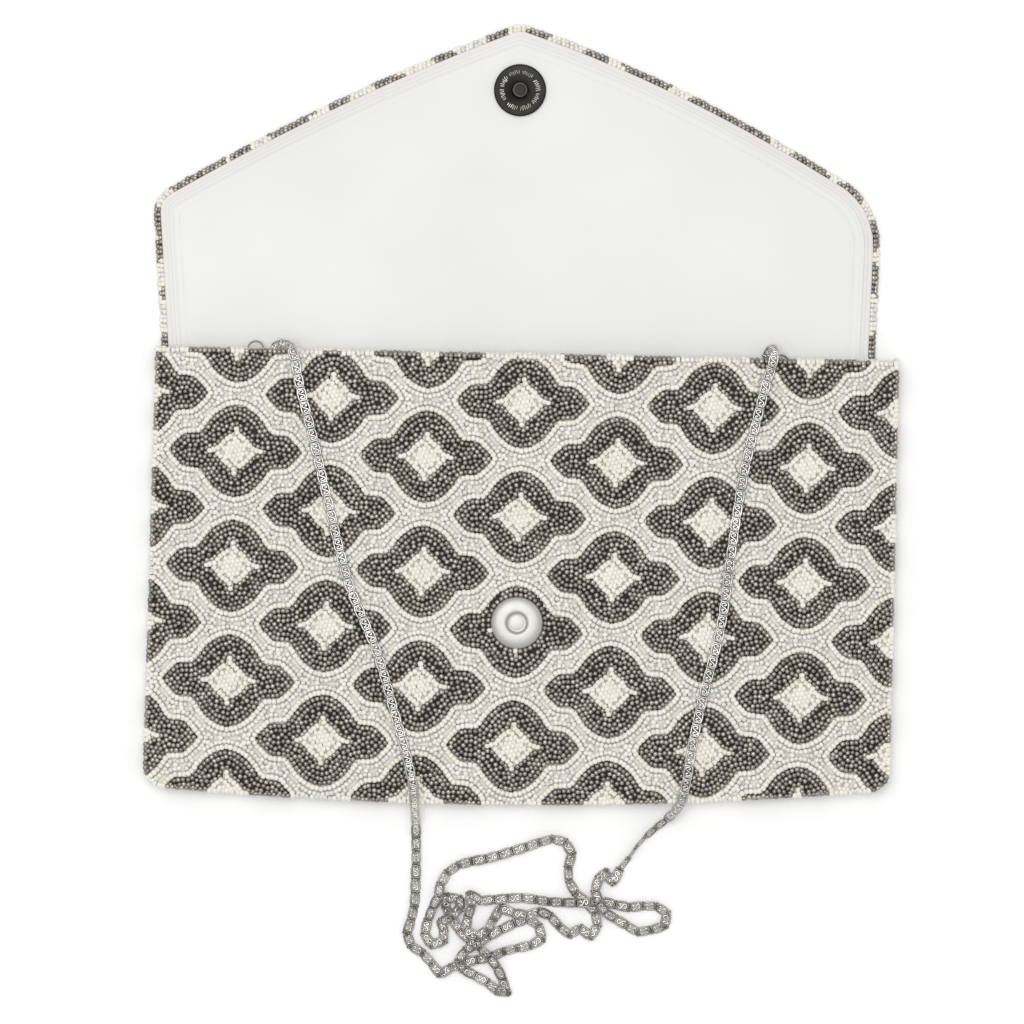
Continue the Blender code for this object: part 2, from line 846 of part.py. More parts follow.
def make_fold():
    """The empty on the fold line that carries the flap."""
    fold = bpy.data.objects.new("flap_fold", None)
    PURSE.objects.link(fold)
    fold.location = Vector((0, FOLD_Y, FOLD_Z)) * MM
    bpy.context.view_layer.update()
    return fold


clear_scene()
PURSE = new_collection("clutch_purse")
CUTTERS = new_collection("clutch_purse_cutters")
MATERIALS = {name: make_material(name) for name in LOOKS}
make_back_wall()
make_front_wall()
make_seams()
make_socket()
make_rings()
make_chain()
flap_fold = make_fold()
make_flap(flap_fold)
make_stud(flap_fold)
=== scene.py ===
"""Looks for the beaded envelope clutch purse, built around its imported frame.

Everything is in the frame's axes: +Z up out of the front panel, +Y towards the tip of the
open flap.
"""

import math

import bpy
import numpy as np
from mathutils import Matrix, Vector


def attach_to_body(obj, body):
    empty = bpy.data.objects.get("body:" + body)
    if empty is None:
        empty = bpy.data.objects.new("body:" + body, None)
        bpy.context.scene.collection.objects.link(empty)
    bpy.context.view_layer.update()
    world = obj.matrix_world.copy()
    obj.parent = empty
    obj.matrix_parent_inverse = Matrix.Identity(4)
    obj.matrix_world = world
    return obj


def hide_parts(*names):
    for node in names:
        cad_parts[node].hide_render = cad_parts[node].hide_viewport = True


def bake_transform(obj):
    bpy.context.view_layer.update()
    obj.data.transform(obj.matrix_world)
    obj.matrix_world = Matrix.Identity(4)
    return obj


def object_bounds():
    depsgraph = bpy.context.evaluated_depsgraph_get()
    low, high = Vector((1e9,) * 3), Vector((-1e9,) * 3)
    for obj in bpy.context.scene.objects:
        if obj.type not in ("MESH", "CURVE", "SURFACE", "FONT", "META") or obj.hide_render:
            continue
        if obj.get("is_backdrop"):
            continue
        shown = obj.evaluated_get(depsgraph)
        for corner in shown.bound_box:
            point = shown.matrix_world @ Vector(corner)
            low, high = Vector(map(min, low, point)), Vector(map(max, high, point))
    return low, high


MM = 0.001

# Outlines of the purse. A pair has the left side, -1, and the right side, 1.
HALF_WIDTH = 128.5
MOUTH_Y = 19.9
BOTTOM_Y = -134.4
BOTTOM_BOW = 5.7
CORNER_RADIUS = 6.0
TIP_Y = 134.4
FLAP_Y = 20.2
FLAP_HALF_WIDTH = 122.8
SHOULDER_HALF_WIDTH = {-1: 126.2, 1: 125.0}
SHOULDER_RADIUS = {-1: 8.0, 1: 26.0}
TIP_RADIUS = 5.0
TIP_SLOPE = math.radians(25.5)

# The flap's two slopes bulge a little: how far at the middle, and how wide each bulge is.
SLOPE_BULGE = {-1: 3.1, 1: 3.8}
BULGE_WIDTH = {-1: 122.0, 1: 108.0}

# The back panel's fabric bends to become the flap between these two places, about the fold.
BEND_START_Y = 11.05
FOLD_Y = 20.05

# Heights of the layers, how far the front panel curves down at its edges, and the width
# of the border over which it does so.
FRONT_TOP_Z = 11.0
FRONT_CLOTH_Z = 9.75
FRONT_BEAD_Z = 10.45
BACK_CLOTH_Z = 1.3
BACK_BEAD_Z = 0.8
LINING_Z = 3.0
FRONT_LINING_Z = 7.95
EDGE_DROP = 3.6
EDGE_REACH = 22.0

# The pouch doesn't lie quite square: its mouth has crept to the right and is a little
# narrower than its bottom, and the front wall's mouth has also turned a little clockwise.
MOUTH_SHIFT = 3.1
MOUTH_TURN = -0.0138
MOUTH_TAPER = 0.005

# The two halves of the magnetic snap, and how far the beads stay from the front one's centre.
SNAP_Y = -71.8
FLAP_SNAP_Y = 2 * FOLD_Y - SNAP_Y
SNAP_CLEARANCE = 9.75

# The beaded pattern: medallions on a lattice whose odd columns are half a row higher.
COLUMN_PITCH = 32.8
ROW_PITCH = 39.46
PATTERN_TURN = math.radians(-1.4)
FRONT_PATTERN_AT = (1.7, 4.0)
BACK_PATTERN_AT = (29.6, 37.6)
MEDALLION_QUARTER = [
    (0.0, 15.7), (3.1, 15.0), (5.2, 13.8), (7.3, 12.2), (9.3, 9.8), (10.7, 7.6), (11.8, 6.2),
    (13.1, 5.7), (16.6, 5.6), (18.0, 5.2), (19.7, 3.6), (21.5, 1.7), (22.7, 0.0),
]
STAR_QUARTER = [
    (0.0, 8.9), (0.85, 8.6), (0.95, 6.7), (2.0, 5.6), (3.5, 4.5), (4.6, 3.5), (5.4, 2.3),
    (6.4, 1.3), (7.6, 0.95), (9.0, 0.8), (9.3, 0.0),
]

# How far a medallion with its ivory row, and the beads of its whole cell, reach at most.
MEDALLION_REACH = (25.0, 18.0)
CELL_REACH = (36.0, 24.0)

# Width of the ivory row round each medallion, and the spacing of the rows outside it.
IVORY_ROW = 2.15
ROW_SPACING = 1.93

# Kinds of bead: diameter, length along its hole, and pitch along a row.
DARK, IVORY, CRYSTAL = 0, 1, 2
BEAD_SIZES = {DARK: (1.85, 1.55, 1.66), IVORY: (2.2, 1.56, 1.54), CRYSTAL: (1.88, 1.5, 1.52)}
GLASS = {  # name, roughness, metallic and coat
    DARK: ("gunmetal", 0.32, 0.85, 0.3),
    IVORY: ("ivory", 0.34, 0.0, 0.2),
    CRYSTAL: ("crystal", 0.16, 0.05, 0.6),
}
SHADES = {
    DARK: [
        (0.305, 0.287, 0.248), (0.385, 0.363, 0.319), (0.235, 0.216, 0.190), (0.335, 0.302, 0.276),
        (0.470, 0.446, 0.394),
    ],
    IVORY: [(0.825, 0.795, 0.710), (0.845, 0.825, 0.755), (0.795, 0.762, 0.678)],
    CRYSTAL: [(0.765, 0.740, 0.700), (0.705, 0.680, 0.642), (0.820, 0.800, 0.762)],
}
BEAD_NAMES = {DARK: "dark_beads", IVORY: "ivory_beads", CRYSTAL: "crystal_beads"}

# Forms of bead: how many sides, and (place along the hole, radius) for each ring of points.
FINE_BEAD = (8, [(-0.5, 0.30), (-0.25, 0.47), (0.25, 0.47), (0.5, 0.30)])
PLAIN_BEAD = (6, [(-0.5, 0.32), (0.0, 0.53), (0.5, 0.32)])

# How far beads stray: off the cloth and along it, in a panel and in an edge row, then how
# far their holes turn on the cloth and tilt off it, in radians, and how much sizes differ.
PANEL_STRAY = (0.07, 0.06)
ROW_STRAY = (0.12, 0.10)
HOLE_TURN = 0.10
HOLE_TILT = 0.12
SIZE_SPREAD = 0.035

# First seeds of the random draws of each set of beads. Its kind of bead is added to it.
SEEDS = {"front": 100, "mouth": 150, "back": 200, "flap": 300, "flap_edge": 400, "side": 500}
FILLS = 4  # how many different fills of the medallion are used in turn
MOST_TRIANGLES = 195_000  # in one piece of a panel's beads

# The chain: S-shaped scrolls in oval frames, 3.5 mm wide, joined by small links.
LINK_PITCH = 4.8
LINK_HALF_LENGTH = 2.05
LINK_HALF_WIDTH = 1.42
SCROLL_WIRE = 0.30
FRAME_WIRE = 0.33
JOINT_WIRE = 0.28
TABLE_BELOW_Y = -140.0

# A stretch of the chain on the table that stands on its edge.
TWIST_X = 35.0
TWIST_Y = (-161.0, -140.0)
TWIST_ROLL = 0.95
TWIST_LIFT = 0.5

# How the chain's route lies on what is under it, in metres like the route.
CHAIN_RADIUS = 0.001
TABLE_REST = 0.00005
FRONT_REST = 0.00035
PASS_OVER = 0.0026

# Route of the chain from the left ring to the right one, in metres. Where it wraps the
# mouth or the bottom edge it gives x, y and z. On the front panel and on the table a point
# is x, y and the number of strands that it passes over.
WRAP_LEFT = [
    (-0.0849, 0.0223, 0.0063), (-0.0824, 0.0236, 0.0074), (-0.0796, 0.0238, 0.0098),
    (-0.0775, 0.0213, 0.0122),
]
DOWN_THE_FRONT = [
    (-0.0752, 0.0100, 0), (-0.0700, -0.0100, 0), (-0.0640, -0.0350, 0), (-0.0575, -0.0595, 0),
    (-0.0480, -0.0820, 0), (-0.0415, -0.1040, 0), (-0.0380, -0.1160, 0),
]
OFF_THE_EDGE_LEFT = [
    (-0.0352, -0.1290, 0.0100), (-0.0348, -0.1354, 0.0085), (-0.0345, -0.1394, 0.0044),
    (-0.0344, -0.1445, 0.0012),
]
ON_THE_TABLE = [
    (-0.0344, -0.1580, 0), (-0.0351, -0.1720, 0), (-0.0374, -0.1801, 0), (-0.0353, -0.1847, 0),
    (-0.0309, -0.1870, 0), (-0.0276, -0.1916, 0), (-0.0251, -0.1940, 0), (-0.0217, -0.1910, 0),
    (-0.0157, -0.1891, 0), (-0.0084, -0.1876, 0), (-0.0026, -0.1852, 0), (0.0045, -0.1837, 0),
    (0.0090, -0.1821, 0), (0.0093, -0.1791, 0), (0.0077, -0.1761, 0), (0.0052, -0.1744, 0),
    (0.0004, -0.1756, 0), (-0.0051, -0.1782, 0), (-0.0101, -0.1810, 0), (-0.0135, -0.1831, 0),
    (-0.0179, -0.1860, 0.5), (-0.0197, -0.1896, 1.1), (-0.0173, -0.1924, 0), (-0.0115, -0.1951, 0),
    (-0.0069, -0.1983, 0), (-0.0041, -0.2015, 0), (-0.0030, -0.1993, 0), (-0.0047, -0.1940, 0),
    (-0.0080, -0.1882, 1), (-0.0133, -0.1831, 1), (-0.0181, -0.1800, 0), (-0.0213, -0.1750, 0),
    (-0.0240, -0.1704, 0), (-0.0250, -0.1670, 0), (-0.0213, -0.1675, 0), (-0.0172, -0.1682, 0),
    (-0.0194, -0.1706, 0.5), (-0.0217, -0.1738, 1), (-0.0243, -0.1752, 0.4), (-0.0271, -0.1759, 0),
    (-0.0249, -0.1778, 0), (-0.0238, -0.1809, 0), (-0.0260, -0.1832, 0), (-0.0293, -0.1834, 0),
    (-0.0312, -0.1810, 0), (-0.0308, -0.1772, 0), (-0.0296, -0.1732, 0), (-0.0278, -0.1691, 0.4),
    (-0.0261, -0.1655, 1), (-0.0255, -0.1613, 0), (-0.0207, -0.1563, 0), (-0.0080, -0.1531, 0),
    (0.0040, -0.1494, 0), (0.0146, -0.1466, 0), (0.0195, -0.1504, 0), (0.0181, -0.1575, 0),
    (0.0196, -0.1638, 0), (0.0245, -0.1683, 0), (0.0283, -0.1735, 0), (0.0280, -0.1786, 0),
    (0.0255, -0.1804, 0), (0.0233, -0.1776, 0), (0.0211, -0.1774, 0), (0.0187, -0.1798, 0),
    (0.0151, -0.1767, 0), (0.0100, -0.1714, 0), (0.0071, -0.1721, 0.7), (0.0035, -0.1730, 0.5),
    (-0.0013, -0.1721, 0), (-0.0058, -0.1706, 0), (-0.0070, -0.1737, 0), (-0.0092, -0.1774, 0.4),
    (-0.0118, -0.1804, 1), (-0.0151, -0.1798, 1), (-0.0176, -0.1771, 0.5), (-0.0167, -0.1748, 0),
    (-0.0151, -0.1715, 0.3), (-0.0153, -0.1682, 1), (-0.0157, -0.1657, 0.6),
    (-0.0134, -0.1679, 0.4), (-0.0089, -0.1679, 0), (0.0020, -0.1670, 0), (0.0120, -0.1684, 0),
    (0.0194, -0.1686, 0.4), (0.0245, -0.1684, 1), (0.0300, -0.1680, 0), (0.0337, -0.1688, 0),
    (0.0370, -0.1702, 0), (0.0450, -0.1696, 0), (0.0518, -0.1706, 0), (0.0524, -0.1758, 0),
    (0.0465, -0.1780, 0), (0.0400, -0.1784, 0), (0.0375, -0.1746, 0), (0.0336, -0.1740, 0),
    (0.0308, -0.1715, 0.5), (0.0289, -0.1679, 1.3), (0.0275, -0.1644, 0.5), (0.0287, -0.1608, 0),
    (0.0298, -0.1571, 0), (0.0312, -0.1594, 0), (0.0336, -0.1617, 0), (0.0353, -0.1581, 0),
    (0.0386, -0.1538, 0), (0.0434, -0.1472, 0),
]
OFF_THE_EDGE_RIGHT = [
    (0.0496, -0.1416, 0.0016), (0.0536, -0.1382, 0.0046), (0.0562, -0.1348, 0.0084),
    (0.0582, -0.1284, 0.0102),
]
UP_THE_FRONT = [
    (0.0604, -0.1140, 0), (0.0640, -0.0970, 0), (0.0700, -0.0730, 0), (0.0736, -0.0460, 0),
    (0.0776, -0.0200, 0), (0.0826, 0.0010, 0), (0.0854, 0.0120, 0),
]
WRAP_RIGHT = [
    (0.0880, 0.0200, 0.0123), (0.0878, 0.0234, 0.0102), (0.0868, 0.0230, 0.0072),
    (0.0854, 0.0202, 0.0060),
]

# ---------------------------------------------------------------- small tools


def smoothstep(t):
    t = np.clip(t, 0.0, 1.0)
    return t * t * (3 - 2 * t)


def new_object(name, data, body=None):
    obj = bpy.data.objects.new(name, data)
    bpy.context.scene.collection.objects.link(obj)
    if body is not None:
        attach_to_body(obj, body)
    return obj


def build_mesh(name, points, corners, sizes, looks, shades=None):
    """A smooth mesh from points in millimetres and faces as one flat list of corners."""
    mesh = bpy.data.meshes.new(name)
    mesh.vertices.add(len(points))
    mesh.vertices.foreach_set("co", (points * MM).astype(np.float32).ravel())
    mesh.loops.add(len(corners))
    mesh.loops.foreach_set("vertex_index", np.asarray(corners, np.int32))
    starts = np.concatenate(([0], np.cumsum(sizes)[:-1]))
    mesh.polygons.add(len(sizes))
    mesh.polygons.foreach_set("loop_start", starts.astype(np.int32))
    for look in looks:
        mesh.materials.append(LOOKS[look])
    if shades is not None:
        mesh.polygons.foreach_set("material_index", np.asarray(shades, np.int32))
    mesh.update(calc_edges=True)
    mesh.validate()
    mesh.shade_smooth()
    return mesh


def quad_mesh(name, points, quads, looks, shades=None):
    quads = np.asarray(quads)
    sizes = np.full(len(quads), 4)
    return build_mesh(name, np.asarray(points, float), quads.ravel(), sizes, looks, shades)


def grid_quads(rows, columns, wrap=False):
    """Faces of a grid of points. Its last column is joined to the first one if it wraps."""
    row = np.arange(rows - 1)[:, None]
    column = np.arange(columns if wrap else columns - 1)[None, :]
    ahead = (column + 1) % columns
    corners = [
        row * columns + column,
        row * columns + ahead,
        (row + 1) * columns + ahead,
        (row + 1) * columns + column,
    ]
    return np.stack([np.broadcast_to(c, corners[0].shape) for c in corners], -1).reshape(-1, 4)


def unit(vectors):
    return vectors / np.linalg.norm(vectors, axis=1)[:, None]


def evenly_round(count):
    """Angles evenly round a circle."""
    return 2 * math.pi * np.arange(count) / count


def at_angles(angles):
    """Unit vectors at angles, as rows of x and y."""
    return np.column_stack([np.cos(angles), np.sin(angles)])


def turning(angle):
    """The matrix that turns rows of x and y by an angle, anticlockwise."""
    cos, sin = math.cos(angle), math.sin(angle)
    return np.array([[cos, sin], [-sin, cos]])


def in_axes(local, along, across, out):
    """Copies of a piece's own points, one in each set of three axes."""
    return (
        local[..., 0:1] * along[:, None]
        + local[..., 1:2] * across[:, None]
        + local[..., 2:3] * out[:, None]
    )


def lengths_along(points):
    """How far along a polyline each of its points is."""
    steps = np.linalg.norm(np.diff(points, axis=0), axis=1)
    return np.concatenate(([0], np.cumsum(steps)))


def spaced(points, pitch, closed=False):
    """Evenly spaced points along a polyline, about pitch apart, and their directions."""
    points = np.asarray(points, float)
    if closed:
        points = np.vstack([points, points[:1]])
    length = lengths_along(points)
    whole = length[-1]
    count = max(round(whole / pitch), 1)
    marks = np.arange(count if closed else count + 1) * whole / count
    reach = min(pitch, whole / 2) / 2
    if closed:
        ahead = (marks + reach) % whole
        behind = (marks - reach) % whole
    else:
        ahead = np.minimum(marks + reach, whole)
        behind = np.maximum(marks - reach, 0)
    run = along_polyline(points, length, ahead) - along_polyline(points, length, behind)
    return along_polyline(points, length, marks), run


def along_polyline(points, length, marks):
    """Places on a polyline at marks, which are distances along it."""
    return np.stack([np.interp(marks, length, axis) for axis in points.T], -1)


def along_polyline_evenly(points, count):
    length = lengths_along(points)
    return along_polyline(points, length, np.linspace(0, length[-1], count))


def edge_inset(points, outline):
    """How far points are inside a closed outline, negative outside, and its nearest point."""
    best = np.full(len(points), np.inf)
    nearest = np.zeros((len(points), 2))
    inside = np.zeros(len(points), bool)
    x, y = points[:, 0], points[:, 1]
    outline = np.asarray(outline, float)
    for start, end in zip(outline, np.roll(outline, -1, axis=0)):
        run = end - start
        along = np.clip(((points - start) @ run) / max(run @ run, 1e-9), 0, 1)
        foot = start + along[:, None] * run
        distance = np.linalg.norm(points - foot, axis=1)
        closer = distance < best
        best[closer] = distance[closer]
        nearest[closer] = foot[closer]
        if run[1] != 0:
            spans = (start[1] > y) != (end[1] > y)
            hit = start[0] + (y - start[1]) / run[1] * run[0]
            inside ^= spans & (x < hit)
    return np.where(inside, best, -best), nearest


# ---------------------------------------------------------------- outlines


def bottom_edge(x):
    return BOTTOM_Y + BOTTOM_BOW * (x / HALF_WIDTH) ** 2


def side_edge(height, inset=0.0):
    """Half width of the pouch at a height above its bottom edge, rounded at the corners."""
    reach = min(max(CORNER_RADIUS - (height - inset), 0.0), CORNER_RADIUS)
    return HALF_WIDTH - inset - CORNER_RADIUS + math.sqrt(CORNER_RADIUS**2 - reach**2)


def pouch_outline(inset=0.0, top=MOUTH_Y):
    """Points down the left side of the pouch, along its bottom edge and up the right side."""
    bow_steps, corner_steps = 16, 6
    left = []
    for i in range(corner_steps + 1):
        height = CORNER_RADIUS * (1 - math.sin(math.pi / 2 * i / corner_steps))
        x = -side_edge(height + inset, inset)
        left.append((x, bottom_edge(x) + inset + height))
    first = left[-1][0]
    along = [first * (1 - 2 * i / bow_steps) for i in range(1, bow_steps)]
    bow = [(x, bottom_edge(x) + inset) for x in along]
    right = [(-x, y) for x, y in reversed(left)]
    side = HALF_WIDTH - inset
    return np.array([(-side, top)] + left + bow + right + [(side, top)])


def rounded(corners):
    """Points of a polyline whose corners, given as (x, y, radius), become arcs."""
    steps = 6
    points = []
    for i, (x, y, radius) in enumerate(corners):
        here = Vector((x, y))
        if radius <= 0:
            points.append((x, y))
            continue
        back = (Vector(corners[i - 1][:2]) - here).normalized()
        ahead = (Vector(corners[i + 1][:2]) - here).normalized()
        half = back.angle(ahead) / 2
        centre = here + (back + ahead).normalized() * radius / math.sin(half)
        reach = radius / math.tan(half)
        start = here + back * reach - centre
        turn = start.angle_signed(here + ahead * reach - centre)
        for k in range(steps + 1):
            arm = start.copy()
            arm.rotate(Matrix.Rotation(-turn * k / steps, 2))
            points.append(tuple(centre + arm))
    return points


def flap_outline(inset=0.0):
    """The flap's free edge, from the bend's start at the left to the bend's start at the right."""
    least_radius = 1.5
    slope = math.tan(TIP_SLOPE)
    tip_cut = TIP_RADIUS * (1 / math.cos(TIP_SLOPE) - 1)
    tip = TIP_Y + tip_cut - inset / math.cos(TIP_SLOPE)
    shoulders = []
    for side in (-1, 1):
        across = SHOULDER_HALF_WIDTH[side] - inset
        radius = max(SHOULDER_RADIUS[side] - inset, least_radius)
        shoulders.append((side * across, tip - slope * across, radius))
    reach = HALF_WIDTH - inset
    hidden = skewed([(-reach, BEND_START_Y), (reach, BEND_START_Y)], 0.0)
    corners = [
        (hidden[0][0], BEND_START_Y, 0),
        (-(FLAP_HALF_WIDTH - inset), FLAP_Y, 0),
        shoulders[0],
        (0, tip, max(TIP_RADIUS - inset / 2, least_radius)),
        shoulders[1],
        (FLAP_HALF_WIDTH - inset, FLAP_Y, 0),
        (hidden[1][0], BEND_START_Y, 0),
    ]
    return bulged(np.array(rounded(corners)))


def bulged(outline):
    """The outline with points added along its long runs, and its two slopes bulged."""
    step, bulge_from_y, fade = 5.0, 50.0, 20.0
    points = [outline[0]]
    for start, end in zip(outline[:-1], outline[1:]):
        count = max(int(np.linalg.norm(end - start) / step), 1)
        points += [start + (end - start) * k / count for k in range(1, count + 1)]
    points = np.array(points)
    on_slopes = smoothstep((points[:, 1] - bulge_from_y) / fade)
    for side in (-1, 1):
        share = np.clip(side * points[:, 0] / BULGE_WIDTH[side], 0, 1)
        points[:, 1] += on_slopes * SLOPE_BULGE[side] * 4 * share * (1 - share)
    return points


def skewed(points, share=1.0):
    """Points of the pouch where they really lie: share is 1 on the front and 0 on the back."""
    x, y = np.asarray(points, float).T
    height = (y - BOTTOM_Y) / (MOUTH_Y - BOTTOM_Y)
    across = x * (1 - MOUTH_TAPER * height) + MOUTH_SHIFT * height
    up = y + share * height * (MOUTH_TURN * x)
    return np.column_stack([across, up])


def squared(x, y):
    """Where points of the front wall would be if the pouch lay square."""
    square_x, square_y = x, y
    for _ in range(3):
        height = (square_y - BOTTOM_Y) / (MOUTH_Y - BOTTOM_Y)
        square_x = (x - MOUTH_SHIFT * height) / (1 - MOUTH_TAPER * height)
        square_y = y - height * (MOUTH_TURN * square_x)
    return square_x, square_y


def front_drop(x, y):
    """How far the front wall has curved down at points where they really lie."""
    return edge_drop(*squared(x, y))


def edge_drop(x, y):
    """How far a square front panel curves down near its sides and bottom."""
    side = smoothstep(1 - (HALF_WIDTH - np.abs(x)) / EDGE_REACH)
    bottom = smoothstep(1 - (y - bottom_edge(x)) / EDGE_REACH)
    return EDGE_DROP * (1 - (1 - side) * (1 - bottom))


# ---------------------------------------------------------------- camera, light and floor


def make_camera():
    """Straight above the purse, a little turned, with a long lens."""
    camera = bpy.data.cameras.new("camera")
    camera.sensor_width = 36.0
    camera.lens = 162.6
    camera.clip_end = 10.0
    obj = bpy.data.objects.new("camera", camera)
    obj.location = (-0.0019, -0.0337, 1.6)
    obj.rotation_euler = (0.0, 0.0, math.radians(0.35))
    bpy.context.scene.collection.objects.link(obj)
    bpy.context.scene.camera = obj


def make_light():
    """One large softbox overhead and an even pale surround."""
    light = bpy.data.lights.new("overhead_softbox", "AREA")
    light.shape = "SQUARE"
    light.size = 1.4
    light.energy = 17.5
    softbox = bpy.data.objects.new("overhead_softbox", light)
    softbox.location = (-0.18, 0.24, 1.9)
    aim = Vector((0, -0.03, 0))
    softbox.rotation_euler = (aim - softbox.location).to_track_quat("-Z", "Y").to_euler()
    bpy.context.scene.collection.objects.link(softbox)
    world = bpy.data.worlds.new("surround")
    world.use_nodes = True
    background = world.node_tree.nodes["Background"]
    background.inputs["Color"].default_value = (1.0, 1.0, 1.0, 1.0)
    background.inputs["Strength"].default_value = 0.70
    bpy.context.scene.world = world
    bpy.context.scene.view_settings.view_transform = "Standard"


def make_floor():
    """A sheet of white paper, just under the purse."""
    reach, z = 1500.0, -0.05
    points = [(-reach, -reach, z), (reach, -reach, z), (reach, reach, z), (-reach, reach, z)]
    mesh = quad_mesh("floor", points, [(0, 1, 2, 3)], ["paper"])
    floor = bpy.data.objects.new("floor", mesh)
    bpy.context.scene.collection.objects.link(floor)
    floor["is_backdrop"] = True


# ---------------------------------------------------------------- materials


def start_material(name, colour, roughness, others):
    """A material with constant values on its shader, which is returned with its node tree."""
    material = bpy.data.materials.new(name)
    material.use_nodes = True
    tree = material.node_tree
    shader = tree.nodes["Principled BSDF"]
    values = {"Base Color": (*colour, 1.0), "Roughness": roughness, "Coat Roughness": 0.08}
    for key, value in {**values, **others}.items():
        shader.inputs[key].default_value = value
    LOOKS[name] = material
    return tree, shader


def add_node(tree, kind, values, links):
    """A shader node with constants on some of its inputs and links into others."""
    node = tree.nodes.new("ShaderNode" + kind)
    for key, value in values.items():
        node.inputs[key].default_value = value
    for key, source in links.items():
        tree.links.new(source, node.inputs[key])
    return node


def object_coordinates(tree):
    return tree.nodes.new("ShaderNodeTexCoord").outputs["Object"]


def noise(tree, place, scale, detail=3.0):
    node = add_node(tree, "TexNoise", {"Scale": scale, "Detail": detail}, {"Vector": place})
    return node.outputs["Fac"]


def threads(tree, place, scale, axis):
    """Fine parallel threads, as a wave across one axis."""
    values = {"Scale": scale, "Distortion": 0.6, "Detail": 1.0}
    node = add_node(tree, "TexWave", values, {"Vector": place})
    node.wave_type = "BANDS"
    node.bands_direction = axis
    return node.outputs["Fac"]


def weave(tree, place, one_scale, other_scale):
    """Threads along X and Y that cross each other."""
    one = threads(tree, place, one_scale, "X")
    other = threads(tree, place, other_scale, "Y")
    node = add_node(tree, "Math", {}, {0: one, 1: other})
    node.operation = "MULTIPLY"
    return node.outputs["Value"]


def vary_colour(tree, shader, value, low, high):
    """Makes the base colour vary between low and high with a value."""
    node = add_node(tree, "ValToRGB", {}, {"Fac": value})
    start, end = node.color_ramp.elements
    start.position = 0.3
    start.color = (*low, 1.0)
    end.position = 0.7
    end.color = (*high, 1.0)
    tree.links.new(node.outputs["Color"], shader.inputs["Base Color"])


def vary_roughness(tree, shader, value, low, high):
    node = add_node(tree, "MapRange", {"To Min": low, "To Max": high}, {"Value": value})
    tree.links.new(node.outputs["Result"], shader.inputs["Roughness"])


def bump(tree, shader, height, distance, strength):
    values = {"Distance": distance, "Strength": strength}
    node = add_node(tree, "Bump", values, {"Height": height})
    tree.links.new(node.outputs["Normal"], shader.inputs["Normal"])


def make_satin(name, colour, shade, roughness):
    """Woven satin: long floating threads one way, faint cross threads and a soft sheen."""
    soft = {"Sheen Weight": 0.25, "Sheen Roughness": 0.4, "Specular IOR Level": 0.35}
    tree, shader = start_material(name, colour, roughness, soft)
    place = object_coordinates(tree)
    vary_colour(tree, shader, noise(tree, place, 14.0, 2.0), shade, colour)
    vary_roughness(tree, shader, noise(tree, place, 60.0), roughness - 0.06, roughness + 0.08)
    bump(tree, shader, weave(tree, place, 520.0, 260.0), 0.00003, 0.35)


def make_cloth(name, colour, shade):
    """Plain woven cloth seen between the beads."""
    tree, shader = start_material(name, colour, 0.9, {"Specular IOR Level": 0.2})
    place = object_coordinates(tree)
    vary_colour(tree, shader, noise(tree, place, 90.0), shade, colour)
    bump(tree, shader, weave(tree, place, 420.0, 420.0), 0.00008, 0.6)


def make_metal(name, colour, shade, roughness, scale=300.0, metallic=1.0):
    """Plated metal with faint handling marks in its roughness and tone."""
    tree, shader = start_material(name, colour, roughness, {"Metallic": metallic})
    place = object_coordinates(tree)
    marks = noise(tree, place, scale, 4.0)
    vary_roughness(tree, shader, marks, roughness - 0.04, roughness + 0.08)
    vary_colour(tree, shader, noise(tree, place, scale / 6), shade, colour)
    bump(tree, shader, marks, 0.00002, 0.15)


def make_paper():
    tree, shader = start_material("paper", (0.96, 0.96, 0.96), 0.9, {"Specular IOR Level": 0.1})
    cloud = noise(tree, object_coordinates(tree), 3.0)
    vary_colour(tree, shader, cloud, (0.95, 0.95, 0.95), (0.965, 0.965, 0.965))


def shade_names(kind):
    """Names of the looks of a kind of bead, such as ivory_a."""
    return [f"{GLASS[kind][0]}_{letter}" for letter in "abcde"[: len(SHADES[kind])]]


def make_bead_looks():
    """Plain glass shades: a bead is too small for any pattern of its own."""
    for kind, (_, roughness, metallic, coat) in GLASS.items():
        for name, colour in zip(shade_names(kind), SHADES[kind]):
            start_material(name, colour, roughness, {"Metallic": metallic, "Coat Weight": coat})


